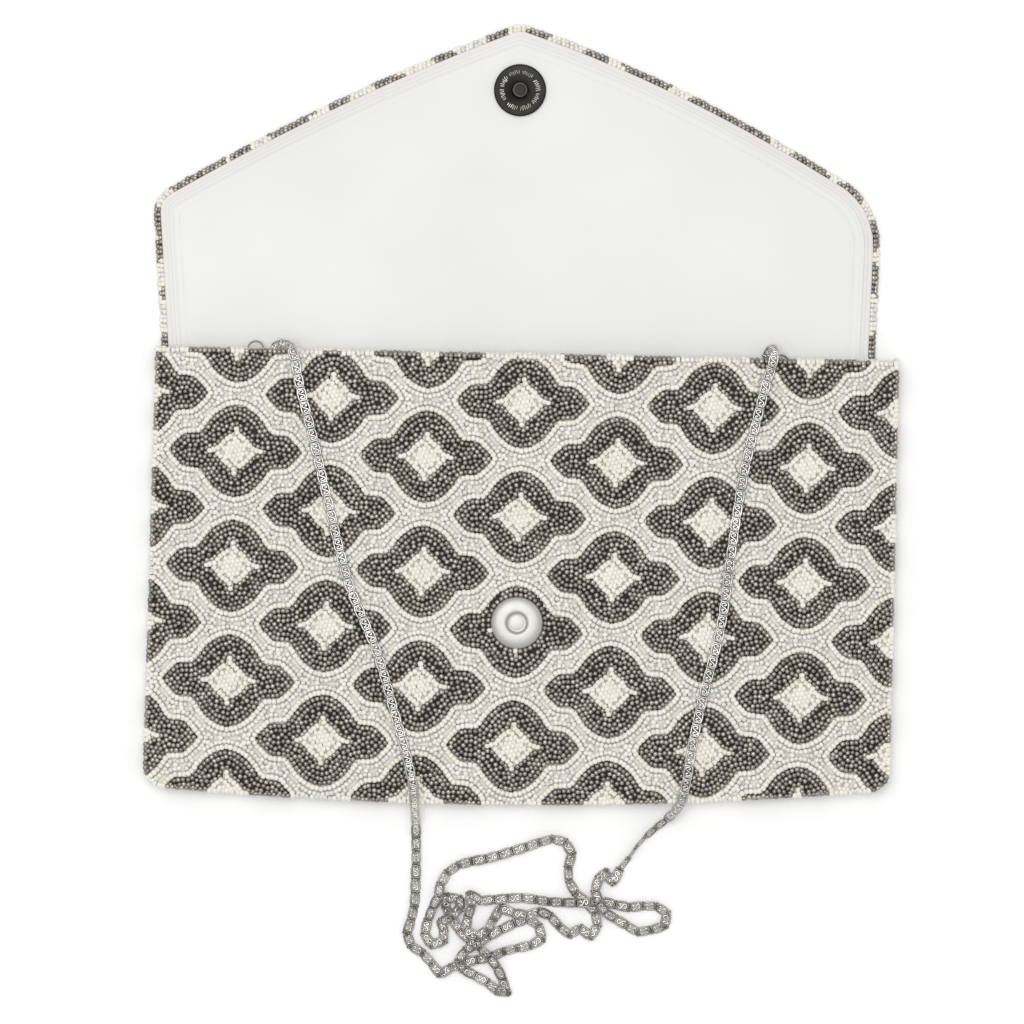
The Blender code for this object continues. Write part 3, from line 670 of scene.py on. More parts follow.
def make_looks():
    make_paper()
    make_bead_looks()
    make_satin("satin", (0.785, 0.79, 0.77), (0.735, 0.735, 0.71), 0.44)
    make_satin("facing_satin", (0.775, 0.757, 0.738), (0.725, 0.703, 0.684), 0.5)
    make_satin("ribbon", (0.78, 0.77, 0.74), (0.73, 0.72, 0.69), 0.55)
    make_cloth("pale_cloth", (0.84, 0.82, 0.76), (0.78, 0.76, 0.70))
    # Near-black cloth for under the dark beads: painted shade, standing in for the shade in the gaps
    # between them.
    make_cloth("painted_shade_cloth", (0.060, 0.054, 0.048), (0.040, 0.036, 0.032))
    make_cloth("board", (0.80, 0.78, 0.73), (0.74, 0.72, 0.67))
    make_metal("bright_nickel", (0.54, 0.525, 0.495), (0.45, 0.437, 0.412), 0.42, 300.0, 0.6)
    make_metal("ring_steel", (0.50, 0.50, 0.49), (0.38, 0.38, 0.37), 0.25)
    make_metal("chain_silver", (0.80, 0.785, 0.745), (0.58, 0.565, 0.53), 0.2, 700.0)
    make_metal("chain_shadowed", (0.43, 0.415, 0.38), (0.21, 0.20, 0.18), 0.24, 700.0)
    make_metal("chain_lit", (0.70, 0.685, 0.65), (0.42, 0.41, 0.385), 0.22, 700.0)
    make_metal("dark_plating", (0.030, 0.029, 0.025), (0.017, 0.017, 0.014), 0.38)
    make_metal("rubbed_plating", (0.34, 0.33, 0.30), (0.07, 0.068, 0.060), 0.3, 1500.0)
    # Lighter plating for the rounded rim of the snap's post, a painted highlight: it brightens the rim
    # so that it catches the softbox as a bright crescent.
    make_metal("rim_highlight_plating", (0.20, 0.195, 0.18), (0.14, 0.135, 0.125), 0.24)
    make_metal("magnet", (0.12, 0.12, 0.13), (0.09, 0.09, 0.10), 0.5)
    make_metal("plain_steel", (0.62, 0.62, 0.62), (0.55, 0.55, 0.55), 0.35)


# ---------------------------------------------------------------- the chain


def on_the_front(points):
    """Rests route points on the front panel."""
    rise = FRONT_TOP_Z * MM + FRONT_REST + CHAIN_RADIUS
    rested = []
    for x, y, over in points:
        drop = float(edge_drop(x / MM, y / MM)) * MM
        rested.append((x, y, rise - drop + over * PASS_OVER))
    return rested


def on_the_table(points):
    rise = CHAIN_RADIUS + TABLE_REST
    return [(x, y, rise + over * PASS_OVER) for x, y, over in points]


def chain_route():
    route = list(WRAP_LEFT)
    route += on_the_front(DOWN_THE_FRONT)
    route += OFF_THE_EDGE_LEFT
    route += on_the_table(ON_THE_TABLE)
    route += OFF_THE_EDGE_RIGHT
    route += on_the_front(UP_THE_FRONT)
    route += WRAP_RIGHT
    return [Vector(point) for point in route]


def centripetal(a, b, c, d, t):
    """The point at t, from 0 to 1, of the span from b to c."""
    t1 = math.sqrt((b - a).length)
    t2 = t1 + math.sqrt((c - b).length)
    t3 = t2 + math.sqrt((d - c).length)
    now = t1 + (t2 - t1) * t
    ab = a.lerp(b, now / t1)
    bc = b.lerp(c, t)
    cd = c.lerp(d, (now - t2) / (t3 - t2))
    abc = ab.lerp(bc, now / t2)
    bcd = bc.lerp(cd, (now - t1) / (t3 - t1))
    return abc.lerp(bcd, t)


def smooth_curve(route, steps):
    """Points on a centripetal Catmull-Rom curve through the route, some in each span."""
    ends = [2 * route[0] - route[1]] + route + [2 * route[-1] - route[-2]]
    points = []
    for a, b, c, d in zip(ends, ends[1:], ends[2:], ends[3:]):
        for i in range(steps):
            points.append(centripetal(a, b, c, d, i / steps))
    return points + [route[-1]]


def round_wire(centres, radius, closed):
    """Points and faces of a round wire along centres that lie near a flat plane."""
    sides = 6
    centres = np.asarray(centres, float)
    if closed:
        run = np.roll(centres, -1, axis=0) - np.roll(centres, 1, axis=0)
    else:
        run = np.gradient(centres, axis=0)
    run = unit(run)
    side = unit(np.cross((0, 0, 1), run))
    up = np.cross(run, side)
    angles = evenly_round(sides)[None, :, None]
    offset = np.cos(angles) * side[:, None] + np.sin(angles) * up[:, None]
    points = (centres[:, None] + radius * offset).reshape(-1, 3)
    quads = grid_quads(len(centres), sides, wrap=True)
    if closed:
        last = len(points) - sides
        joint = [(last + k, last + (k + 1) % sides, (k + 1) % sides, k) for k in range(sides)]
        quads = np.vstack([quads, joint])
    return points, quads


def scroll_shape():
    """Centre line of the S scroll inside a link: two curls joined by a diagonal."""
    half = [
        (0.30, 0.55), (0.72, 0.90), (1.20, 0.80), (1.46, 0.22), (1.30, -0.50), (0.88, -0.68),
        (0.62, -0.25), (0.85, 0.08),
    ]
    line = [Vector((-u, -v, 0)) for u, v in reversed(half)]
    line.append(Vector((0, 0, 0)))
    line += [Vector((u, v, 0)) for u, v in half]
    return [tuple(point) for point in smooth_curve(line, 2)]


def blocky_oval(centre, half_length, half_width, count, tilt=0.0):
    """Centre line of an oval link with long straight sides, rising by tilt at one end."""
    shape = []
    for i in range(count):
        angle = 2 * math.pi * (i + 0.5) / count
        cos, sin = math.cos(angle), math.sin(angle)
        u = half_length * math.copysign(math.sqrt(abs(cos)), cos)
        v = half_width * math.copysign(math.sqrt(abs(sin)), sin)
        shape.append((centre + u, v, tilt * cos))
    return shape


def link_template():
    """One link, its S scroll, and the two small links that join it to the next.

    Returns points, faces, and 1 for each face of the scroll, 0 for the rest.
    """
    joint = LINK_PITCH / 2
    wires = [
        (scroll_shape(), SCROLL_WIRE, False),
        (blocky_oval(0.0, LINK_HALF_LENGTH, LINK_HALF_WIDTH, 16), FRAME_WIRE, True),
        (blocky_oval(joint, 0.80, 0.80, 10, 0.30), JOINT_WIRE, True),
        (blocky_oval(joint, 0.42, LINK_HALF_WIDTH, 10, -0.25), JOINT_WIRE, True),
    ]
    points = []
    quads = []
    scroll = []
    first = 0
    for line, radius, closed in wires:
        wire_points, wire_quads = round_wire(line, radius, closed)
        points.append(wire_points)
        quads.append(wire_quads + first)
        scroll.append(np.full(len(wire_quads), int(not closed)))
        first += len(wire_points)
    return np.vstack(points), np.vstack(quads), np.concatenate(scroll)


def link_axes(run):
    """Sideways directions of the links: level, except where the chain climbs steeply."""
    up, least_level = np.array((0.0, 0.0, 1.0)), 0.35
    sides = []
    last = np.cross(up, run[0])
    for direction in run:
        level = np.cross(up, direction)
        if np.linalg.norm(level) > least_level:
            last = level
        side = last - direction * (last @ direction)
        last = side / np.linalg.norm(side)
        sides.append(last)
    return np.array(sides)


def in_twist(middle):
    x, y = middle[:, 0], middle[:, 1]
    return (x > TWIST_X) & (y > TWIST_Y[0]) & (y < TWIST_Y[1])


def link_rolls(middle):
    """How far each link is rolled about the chain: more on the table, and most in the twist."""
    on_table = middle[:, 1] < TABLE_BELOW_Y
    number = np.arange(len(middle))
    roll = (0.05 + 0.30 * on_table) * np.sin(number * 0.83) + 0.1 * on_table * np.sin(number * 2.1)
    return roll + TWIST_ROLL * in_twist(middle)


def make_chain():
    curve = smooth_curve(chain_route(), 12)
    route = np.array([tuple(point) for point in curve]) / MM
    length = lengths_along(route)
    count = int(length[-1] / LINK_PITCH)
    pitch = length[-1] / count
    joints = along_polyline(route, length, np.arange(count + 1) * pitch)
    middle = (joints[1:] + joints[:-1]) / 2
    run = unit(joints[1:] - joints[:-1])
    side = link_axes(run)
    normal = np.cross(run, side)
    roll = link_rolls(middle)[:, None]
    middle[:, 2] += TWIST_LIFT * in_twist(middle)
    across = np.cos(roll) * side + np.sin(roll) * normal
    points, quads, scroll = link_template()
    placed = middle[:, None] + in_axes(points[None], run, across, np.cross(run, across))
    faces = (quads[None] + (np.arange(count) * len(points))[:, None, None]).reshape(-1, 4)
    looks = ["chain_shadowed", "chain_silver", "chain_lit"]
    frames = np.repeat(np.where(middle[:, 1] < TABLE_BELOW_Y, 0, 2), len(quads))
    shades = np.where(np.tile(scroll, count) == 1, 1, frames)
    mesh = quad_mesh("chain_links", placed.reshape(-1, 3), faces, looks, shades)
    chain = new_object("chain_links", mesh, "pouch")
    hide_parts("chain")
    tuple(WRAP_LEFT[0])
    [tuple(point) for point in curve]


# ---------------------------------------------------------------- laying out the beads


def mirrored_loop(quarter):
    """A closed loop, anticlockwise from the right tip, from its upper right quarter."""
    upper_left = [(-x, y) for x, y in quarter[1:]]
    lower_left = [(-x, -y) for x, y in quarter[::-1][1:]]
    lower_right = [(x, -y) for x, y in quarter[1:-1]]
    return np.array(quarter[::-1] + upper_left + lower_left + lower_right)


MEDALLION = mirrored_loop(MEDALLION_QUARTER)
STAR = mirrored_loop(STAR_QUARTER)


def offset_loop(loop, distance):
    """A closed loop moved outward by distance, without the parts that cross themselves."""
    dense, direction = spaced(loop, 0.3, closed=True)
    direction = unit(direction)
    outward = np.stack([direction[:, 1], -direction[:, 0]], -1)
    moved = dense + outward * distance
    return moved[nearest_gap(moved, dense) > abs(distance) - 0.06]


def neighbour_centres():
    """Where the eight nearest medallions are from the middle of one."""
    half = ROW_PITCH / 2
    near = [(0, ROW_PITCH), (0, -ROW_PITCH)]
    near += [(sx * COLUMN_PITCH, sy * half) for sx in (-1, 1) for sy in (-1, 1)]
    near += [(sx * 2 * COLUMN_PITCH, 0) for sx in (-1, 1)]
    return np.array(near)


def nearest_gap(points, others):
    """Distance from each point to the nearest of the others."""
    if len(others) == 0:
        return np.full(len(points), np.inf)
    return np.linalg.norm(points[:, None] - others[None], axis=2).min(1)


def in_own_cell(points, loop, slack):
    """Points that are nearer this medallion than any neighbour."""
    own = nearest_gap(points, loop)
    shifted = [loop + centre for centre in neighbour_centres()]
    other = np.min([nearest_gap(points, moved) for moved in shifted], axis=0)
    return own <= other + slack


def fill_region(region, placed, gap, rng):
    """More points inside a region, each at least gap from every other one."""
    accepted = list(placed)
    order = rng.permutation(len(region))
    found = []
    for point in region[order]:
        near = np.array(accepted)
        if len(near) and (np.hypot(*(near - point).T) < gap).any():
            continue
        accepted.append(point)
        found.append(point)
    return np.array(found).reshape(-1, 2)


def relax(moving, fixed, inset_of, lowest, spacing):
    """Pushes points apart to about the spacing, while they stay inside their region."""
    rounds, share, most = 24, 0.35, 0.3
    for _ in range(rounds):
        everything = np.vstack([moving, fixed])
        apart = moving[:, None] - everything[None]
        distance = np.linalg.norm(apart, axis=2)
        distance[distance < 1e-6] = np.inf
        push = np.clip(spacing - distance, 0, None) / distance
        step = share * (apart * push[:, :, None]).sum(1)
        trial = moving + np.clip(step, -most, most)
        stays = inset_of(trial) > lowest
        moving = np.where(stays[:, None], trial, moving)
    return moving


def candidates(half_width, half_height, step, rng):
    xs = np.arange(-half_width, half_width, step)
    ys = np.arange(-half_height, half_height, step)
    grid = np.stack(np.meshgrid(xs, ys), -1).reshape(-1, 2)
    return grid + rng.uniform(-step / 2, step / 2, grid.shape)


def bead_rows(kind, places, directions):
    """Rows of a bead table: x, y, angle of the hole, and kind."""
    angle = np.arctan2(directions[:, 1], directions[:, 0])
    return np.column_stack([places, angle, np.full(len(places), kind)])


def any_way(count, rng):
    """Random directions for the holes of the beads that fill a gap."""
    return at_angles(rng.uniform(0, math.pi, count))


def medallion_beads(rng):
    """Beads of the dark medallion, laid along both of its edges and then filled in."""
    rim_inset, star_gap, second_inset = 0.88, 0.85, 2.55
    clear_gap, loose_spacing = 1.3, 1.74
    pitch = BEAD_SIZES[DARK][2]
    rim, rim_run = spaced(offset_loop(MEDALLION, -rim_inset), pitch, closed=True)
    inner, inner_run = spaced(offset_loop(STAR, star_gap), pitch, closed=True)
    second, second_run = spaced(offset_loop(MEDALLION, -second_inset), pitch, closed=True)
    clear = (nearest_gap(second, inner) > clear_gap) & (edge_inset(second, STAR)[0] < -0.9)
    second, second_run = second[clear], second_run[clear]
    laid = np.vstack([rim, inner])

    def inset_of(points):
        return np.minimum(edge_inset(points, MEDALLION)[0], -edge_inset(points, STAR)[0])

    region = candidates(23, 16, 0.42, rng)
    region = region[inset_of(region) > 0.85]
    fill = fill_region(region, np.vstack([laid, second]), clear_gap, rng)
    loose = relax(np.vstack([second, fill]), laid, inset_of, 0.8, loose_spacing)
    second, fill = loose[: len(second)], loose[len(second) :]
    second_run = second_run + rng.normal(0, 0.8, second_run.shape)
    laid_run = np.vstack([rim_run, inner_run, second_run, any_way(len(fill), rng)])
    return bead_rows(DARK, np.vstack([rim, inner, second, fill]), laid_run)


def star_beads():
    """Ivory beads in slanting rows that fill the four-pointed star."""
    rim_inset, pitch, row_pitch, slant = 0.62, 1.5, 1.42, math.radians(12)
    rim, rim_run = spaced(offset_loop(STAR, -rim_inset), BEAD_SIZES[IVORY][2], closed=True)
    span = range(-7, 8)
    rows = [((k + 0.5 * (row % 2)) * pitch, row * row_pitch) for row in span for k in span]
    rows = np.array(rows) @ turning(slant)
    kept = (edge_inset(rows, STAR)[0] > 0.9) & (nearest_gap(rows, rim) > 1.15)
    rows = rows[kept]
    run = np.tile((math.cos(slant), math.sin(slant)), (len(rows), 1))
    return bead_rows(IVORY, np.vstack([rim, rows]), np.vstack([rim_run, run]))


def network_beads(rng):
    """Rows that follow the medallion outside: one ivory row, then crystal rows."""
    dense, _ = spaced(MEDALLION, 0.4, closed=True)
    beads = []
    for number, kind in enumerate((IVORY, CRYSTAL, CRYSTAL, CRYSTAL)):
        line = offset_loop(MEDALLION, IVORY_ROW / 2 + number * ROW_SPACING)
        places, run = spaced(line, BEAD_SIZES[kind][2], closed=True)
        kept = in_own_cell(places, dense, 0.25)
        beads.append(bead_rows(kind, places[kept], run[kept]))
    rows = np.vstack(beads)
    images = np.vstack([rows[:, :2]] + [rows[:, :2] + c for c in neighbour_centres()])
    region = candidates(34, 21, 0.5, rng)
    region = region[edge_inset(region, MEDALLION)[0] < -0.95]
    region = region[in_own_cell(region, dense, 0.0)]
    near = images[(abs(images[:, 0]) < 37) & (abs(images[:, 1]) < 24)]
    fill = fill_region(region, near, 1.34, rng)
    return np.vstack([rows, bead_rows(IVORY, fill, any_way(len(fill), rng))])


def cell_tables():
    """The beads around one medallion, in a few different fills."""
    star = star_beads()
    network = network_beads(np.random.default_rng(5))
    tables = []
    for seed in range(FILLS):
        dark = medallion_beads(np.random.default_rng(20 + seed))
        tables.append(np.vstack([dark, star, network]))
    return tables


def lattice_centres(origin, low, high):
    """Medallion centres that can reach a region, in the panel's own axes."""
    turn = Matrix.Rotation(PATTERN_TURN, 2)
    centres = []
    for column in range(-7, 8):
        for row in range(-9, 9):
            y = (row + 0.5 * (column % 2)) * ROW_PITCH
            spot = turn @ Vector((column * COLUMN_PITCH, y))
            x, y = spot.x + origin[0], spot.y + origin[1]
            in_width = low[0] - CELL_REACH[0] < x < high[0] + CELL_REACH[0]
            if in_width and low[1] - CELL_REACH[1] < y < high[1] + CELL_REACH[1]:
                centres.append((x, y, (column * 3 + row * 5) % FILLS))
    return centres


def stamp_cells(tables, origin, outline, inset):
    """Bead tables stamped over a lattice, kept where they are inside the outline by an inset."""
    outline = np.asarray(outline)
    stamped = []
    for x, y, fill in lattice_centres(origin, outline.min(0), outline.max(0)):
        cell = tables[fill].copy()
        cell[:, :2] = cell[:, :2] @ turning(PATTERN_TURN) + (x, y)
        cell[:, 2] += PATTERN_TURN
        stamped.append(cell)
    beads = np.vstack(stamped)
    beads = beads[edge_inset(beads[:, :2], outline)[0] > inset]
    return without_crowding(beads, 1.12)


def without_crowding(beads, gap):
    """Drops each bead that is closer than gap to one already kept."""
    around = [(dx, dy) for dx in (-1, 0, 1) for dy in (-1, 0, 1)]
    kept = []
    buckets = {}
    for number, (x, y) in enumerate(beads[:, :2]):
        column, row = int(x // gap), int(y // gap)
        near = []
        for dx, dy in around:
            near += buckets.get((column + dx, row + dy), [])
        if any((x - nx) ** 2 + (y - ny) ** 2 < gap * gap for nx, ny in near):
            continue
        buckets.setdefault((column, row), []).append((x, y))
        kept.append(number)
    return beads[kept]


def pattern_at(points, origin):
    """The kind of bead that the pattern has at each point."""
    points = np.asarray(points, float)
    kinds = np.full(len(points), CRYSTAL)
    for x, y, _ in lattice_centres(origin, points.min(0), points.max(0)):
        local = (points - (x, y)) @ turning(-PATTERN_TURN)
        near = np.flatnonzero((abs(local) < MEDALLION_REACH).all(1))
        if len(near) == 0:
            continue
        inset = edge_inset(local[near], MEDALLION)[0]
        in_star = edge_inset(local[near], STAR)[0] > 0
        kinds[near[inset > -IVORY_ROW]] = IVORY
        kinds[near[(inset > 0) & ~in_star]] = DARK
    return kinds


# ---------------------------------------------------------------- bead meshes


def bead_template(sides, stations):
    """A barrel of unit diameter and length along X, with flat ends."""
    circle = at_angles(evenly_round(sides))
    rings = [np.column_stack([np.full(sides, t), r * circle]) for t, r in stations]
    quads = grid_quads(len(stations), sides, wrap=True)[:, ::-1]
    last = (len(stations) - 1) * sides
    corners = list(quads.ravel())
    corners += list(range(sides)) + [last + k for k in reversed(range(sides))]
    sizes = [4] * len(quads) + [sides, sides]
    return np.vstack(rings), np.array(corners), np.array(sizes)


def bead_directions(angles, tilts, up):
    """Axes of each bead: along its hole, across it, and away from the cloth."""
    along = np.column_stack([at_angles(angles), np.zeros(len(angles))])
    normal = np.tile((0.0, 0.0, float(up)), (len(angles), 1))
    along = along * np.cos(tilts)[:, None] + normal * np.sin(tilts)[:, None]
    across = unit(np.cross(normal, along))
    return along, across, np.cross(along, across)


def add_beads(name, kind, places, angles, rng, attach, up=1, form=FINE_BEAD):
    """One object for many beads of a kind, each with one of the kind's shades."""
    points, corners, sizes = bead_template(*form)
    diameter, length, _ = BEAD_SIZES[kind]
    count = len(places)
    axes = bead_directions(angles, rng.normal(0, HOLE_TILT, count), up)
    scale = rng.normal(1.0, SIZE_SPREAD, (count, 1, 1)).clip(0.9, 1.1)
    local = points[None] * np.array((length, diameter, diameter)) * scale
    placed = (places[:, None] + in_axes(local, *axes)).reshape(-1, 3)
    faces = (corners[None] + (np.arange(count) * len(points))[:, None]).ravel()
    looks = shade_names(kind)
    shades = np.repeat(rng.integers(0, len(looks), count), len(sizes))
    mesh = build_mesh(name, placed, faces, np.tile(sizes, count), looks, shades)
    attach(new_object(name, mesh))


def strayed(places, heights, rng, stray):
    """Places in space for beads on a surface, each a little out of line."""
    off, along = stray
    z = heights + rng.normal(0, off, len(places))
    return np.column_stack([places + rng.normal(0, along, (len(places), 2)), z])


def beads_by_kind(prefix, table):
    """Each kind's rows of a bead table, with their name and their own random draws."""
    for kind in (DARK, IVORY, CRYSTAL):
        rows = table[table[:, 3] == kind]
        if len(rows):
            rng = np.random.default_rng(SEEDS[prefix] + kind)
            yield f"{prefix}_{BEAD_NAMES[kind]}", kind, rows, rng


def make_panel_beads(prefix, table, height_of, attach, up=1, form=FINE_BEAD):
    """Objects of the dark, ivory and crystal beads of a panel, split where they are many."""
    sides, stations = form
    triangles = 2 * sides * (len(stations) - 1) + 2 * (sides - 2)
    for name, kind, rows, rng in beads_by_kind(prefix, table):
        rows = rows[np.argsort(rows[:, 0], kind="stable")]
        parts = np.array_split(rows, math.ceil(len(rows) * triangles / MOST_TRIANGLES))
        for number, part in enumerate(parts, 1):
            heights = height_of(part[:, 0], part[:, 1])
            places = strayed(part[:, :2], heights, rng, PANEL_STRAY)
            angles = part[:, 2] + rng.normal(0, HOLE_TURN, len(part))
            part_name = f"{name}_{number}" if len(parts) > 1 else name
            add_beads(part_name, kind, places, angles, rng, attach, up, form)


def with_pouch(obj):
    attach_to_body(obj, "pouch")


def across_fold(obj):
    """For fabric and beads that run from the back panel over the fold to the flap."""
    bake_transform(obj)


# ---------------------------------------------------------------- cloth


def trimmed_grid(outline, step):
    """Points and faces of a square grid cut to an outline, its border pulled onto it."""
    outline = np.asarray(outline, float)
    low, high = outline.min(0) - step, outline.max(0) + 2 * step
    xs, ys = np.arange(low[0], high[0], step), np.arange(low[1], high[1], step)
    points = np.stack(np.meshgrid(xs, ys, indexing="ij"), -1).reshape(-1, 2)
    inset, nearest = edge_inset(points, outline)
    keep = inset > -0.5 * step
    near = keep & (inset < 0.5 * step)
    points[near] = nearest[near]
    quads = grid_quads(len(xs), len(ys))
    quads = quads[keep[quads].all(1)]
    used = np.unique(quads)
    renumber = np.full(len(points), -1)
    renumber[used] = np.arange(len(used))
    return points[used], renumber[quads]


def ground_cloth(name, outline, origin, height_of, attach, up=1):
    """The cloth under the beads, with painted shade under the dark beads: near-black cloth there stands
    in for the shade in the gaps between them.
    """
    points, quads = trimmed_grid(outline, 1.1)
    # Faces under dark beads take the near-black cloth, which is painted shade.
    dark = pattern_at(points[quads].mean(1), origin) == DARK
    spots = np.column_stack([points, height_of(points[:, 0], points[:, 1])])
    looks = ["pale_cloth", "painted_shade_cloth"]
    quads = quads[:, ::up]  # faces that look down have their corners in the other order
    mesh = quad_mesh(name, spots, quads, looks, dark.astype(int))
    cloth = new_object(name, mesh)
    attach(cloth)
    return cloth


def front_height(level):
    return lambda x, y: level - front_drop(x, y)


def flat_height(level):
    return lambda x, y: np.full(np.shape(x), level)


def beads_round_snap():
    """A ring of beads close against the snap's cap, in the pattern's colours."""
    pitch = 1.75
    angles = evenly_round(int(2 * math.pi * SNAP_CLEARANCE / pitch))
    places = SNAP_CLEARANCE * at_angles(angles) + (0, SNAP_Y)
    kinds = pattern_at(places, FRONT_PATTERN_AT)
    return np.column_stack([places, angles + math.pi / 2, kinds])


def make_front_beads(tables):
    """The front's beads, with a straight row along the mouth and a second one rolled under."""
    outline = skewed(pouch_outline(0.5, top=MOUTH_Y - 0.9))
    table = stamp_cells(tables, FRONT_PATTERN_AT, outline, 0.0)
    table = without_crowding(np.vstack([beads_round_snap(), table]), 1.2)
    clear = np.hypot(table[:, 0], table[:, 1] - SNAP_Y) > SNAP_CLEARANCE - 0.01
    height = front_height(FRONT_BEAD_Z)
    make_panel_beads("front", table[clear], height, with_pouch)
    reach = HALF_WIDTH - 1.0
    rows = []
    for inset, depth in ((0.2, 0.15), (-0.25, 1.5)):
        line = skewed([(x, MOUTH_Y - inset) for x in (-reach, 0, reach)])
        rows.append(edge_row(line, FRONT_BEAD_Z - depth, FRONT_PATTERN_AT))
        rows[-1][:, 4] -= front_drop(rows[-1][:, 0], rows[-1][:, 1])
    make_row_beads("mouth", rows, with_pouch)
    outline = skewed(pouch_outline(0.9, top=MOUTH_Y - 0.6))
    height = front_height(FRONT_CLOTH_Z)
    cloth = ground_cloth("front_cloth", outline, FRONT_PATTERN_AT, height, with_pouch)
    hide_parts("front_beading")


def make_back_beads(tables):
    outline = skewed(pouch_outline(0.0, top=BEND_START_Y), 0.0)
    table = stamp_cells(tables, BACK_PATTERN_AT, outline, 0.45)
    height = flat_height(BACK_BEAD_Z)
    make_panel_beads("back", table, height, with_pouch, up=-1, form=PLAIN_BEAD)
    outline = skewed(pouch_outline(0.7, top=BEND_START_Y), 0.0)
    height = flat_height(BACK_CLOTH_Z)
    cloth = ground_cloth("back_cloth", outline, BACK_PATTERN_AT, height, with_pouch, up=-1)
    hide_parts("back_beading")


def make_flap_beads(tables):
    table = stamp_cells(tables, BACK_PATTERN_AT, flap_outline(), 1.9)
    height = flat_height(BACK_BEAD_Z)
    make_panel_beads("flap", table, height, across_fold, up=-1)
    height = flat_height(BACK_CLOTH_Z)
    outline = flap_outline(0.7)
    cloth = ground_cloth("flap_cloth", outline, BACK_PATTERN_AT, height, across_fold, up=-1)
    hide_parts("flap_beading")


def edge_row(outline, level, origin):
    """A row of beads along an open outline, coloured as the pattern is beside it."""
    places, run = spaced(outline, 1.6)
    angle = np.arctan2(run[:, 1], run[:, 0])
    kinds = pattern_at(places, origin)
    return np.column_stack([places, angle, kinds, np.full(len(places), level)])


def front_share(level):
    """0 at the height of the back wall and 1 at that of the front wall."""
    return smoothstep((level - 1.0) / 5.0)


def wall_outline(inset, level):
    """The pouch's edge at a height between the back wall and the front wall."""
    return skewed(pouch_outline(inset), front_share(level))


def make_edge_beads():
    """Rows that finish the flap's edge and close the sides and bottom of the pouch."""
    flap_rows = ((0.35, 0.85), (1.4, 1.45))
    rows = [edge_row(flap_outline(inset), z, BACK_PATTERN_AT) for inset, z in flap_rows]
    make_row_beads("flap_edge", rows, across_fold)
    side_levels = (2.2, 3.75, 5.3, 6.6)
    rows = [edge_row(wall_outline(0.5, z), z, FRONT_PATTERN_AT) for z in side_levels]
    make_row_beads("side", rows, with_pouch)


def make_row_beads(prefix, rows, attach):
    """Objects of the beads of edge rows, whose tables hold each bead's height as well."""
    for name, kind, part, rng in beads_by_kind(prefix, np.vstack(rows)):
        places = strayed(part[:, :2], part[:, 4], rng, ROW_STRAY)
        add_beads(name, kind, places, part[:, 2], rng, attach)


def make_gusset():
    """A strip of cloth inside the side and bottom rows of beads."""
    levels, count = (1.2, 3.0, 4.8, 6.6), 280
    rows = []
    for z in levels:
        line = along_polyline_evenly(wall_outline(1.1, z), count)
        rows.append(np.column_stack([line, np.full(count, z)]))
    quads = grid_quads(len(levels), count)
    mesh = quad_mesh("gusset", np.vstack(rows), quads, ["pale_cloth"])
    new_object("gusset", mesh, "pouch")


# ---------------------------------------------------------------- linings


def undulation(x, y):
    """Soft waves of a satin lining that isn't stuck down."""
    wave = 0.16 * np.sin(x / 17.0 + 0.6 * np.sin(y / 23.0)) * np.cos(y / 29.0 + x / 61.0)
    wave += 0.10 * np.sin(x / 9.0 - y / 13.0 + 1.3) * np.sin(y / 19.0 + x / 37.0)
    wave += 0.05 * np.sin(x / 5.1 + y / 7.3)
    near_snap = smoothstep((np.hypot(x, y - FLAP_SNAP_Y) - 9.0) / 12.0)
    return wave * near_snap


def flap_band(name, profile, look, wavy=0.0):
    """A strip along the flap's free edge. The profile is (inset, height) pairs."""
    rows = []
    for inset, z in profile:
        places = along_polyline_evenly(flap_outline(inset), 420)
        lift = wavy * undulation(places[:, 0], places[:, 1])
        rows.append(np.column_stack([places, z + lift]))
    quads = grid_quads(len(rows), len(rows[0]))
    mesh = quad_mesh(name, np.vstack(rows), quads, [look])
    strip = new_object(name, mesh)
    across_fold(strip)
    return strip


def satin_panel(name, points, z, quads):
    mesh = quad_mesh(name, np.column_stack([points, z]), quads, ["satin"])
    return new_object(name, mesh)


def make_seams(nodes):
    """The seam allowances, moved with the walls that they join."""
    for node in ("side_seam_left", "side_seam_right", "bottom_seam"):
        source = nodes[node]
        points = np.array([tuple(source.matrix_world @ v.co) for v in source.data.vertices]) / MM
        points[:, :2] = skewed(points[:, :2], front_share(points[:, 2]))
        faces = [list(face.vertices) for face in source.data.polygons]
        sizes = [len(face) for face in faces]
        mesh = build_mesh(node + "_tape", points, sum(faces, []), sizes, ["ribbon"])
        mesh.shade_flat()
        tape = new_object(node + "_tape", mesh, "pouch")
        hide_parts(node)


def make_flap_lining():
    """The facing along the flap's edge, its rolled rim, and the panel inside its seam."""
    rim = [(2.15, 1.55), (1.95, 1.95), (2.05, 2.35), (2.45, 2.62), (3.0, 2.66), (3.35, 2.55), (3.6, 2.5)]
    rolled = flap_band("flap_rolled_rim", rim, "facing_satin")
    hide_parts("flap_piping")
    facing = [(3.45, 2.5), (3.7, 2.7), (4.1, 2.82), (4.7, 2.86), (5.3, 2.76)]
    strip = flap_band("flap_facing", facing, "facing_satin", 0.3)
    seam = [(4.95, 2.6), (4.97, 3.05), (5.2, 3.33), (5.6, 3.4), (6.1, 3.26)]
    seam += [(6.6, 3.02), (7.2, 2.92), (8.0, 2.97), (8.6, 3.0)]
    ridge = flap_band("flap_panel_seam", seam, "satin", 0.5)

    outline = flap_outline(5.9)
    points, quads = trimmed_grid(outline, 1.6)
    inset, _ = edge_inset(points, outline)
    free = 0.5 + 0.5 * smoothstep(inset / 18.0)
    tuck = 0.5 * (1 - smoothstep((inset - 1.0) / 1.4))
    z = LINING_Z - 0.01 - tuck + undulation(points[:, 0], points[:, 1]) * free
    panel = satin_panel("flap_lining_panel", points, z, quads)
    across_fold(panel)
    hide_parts("flap_lining")


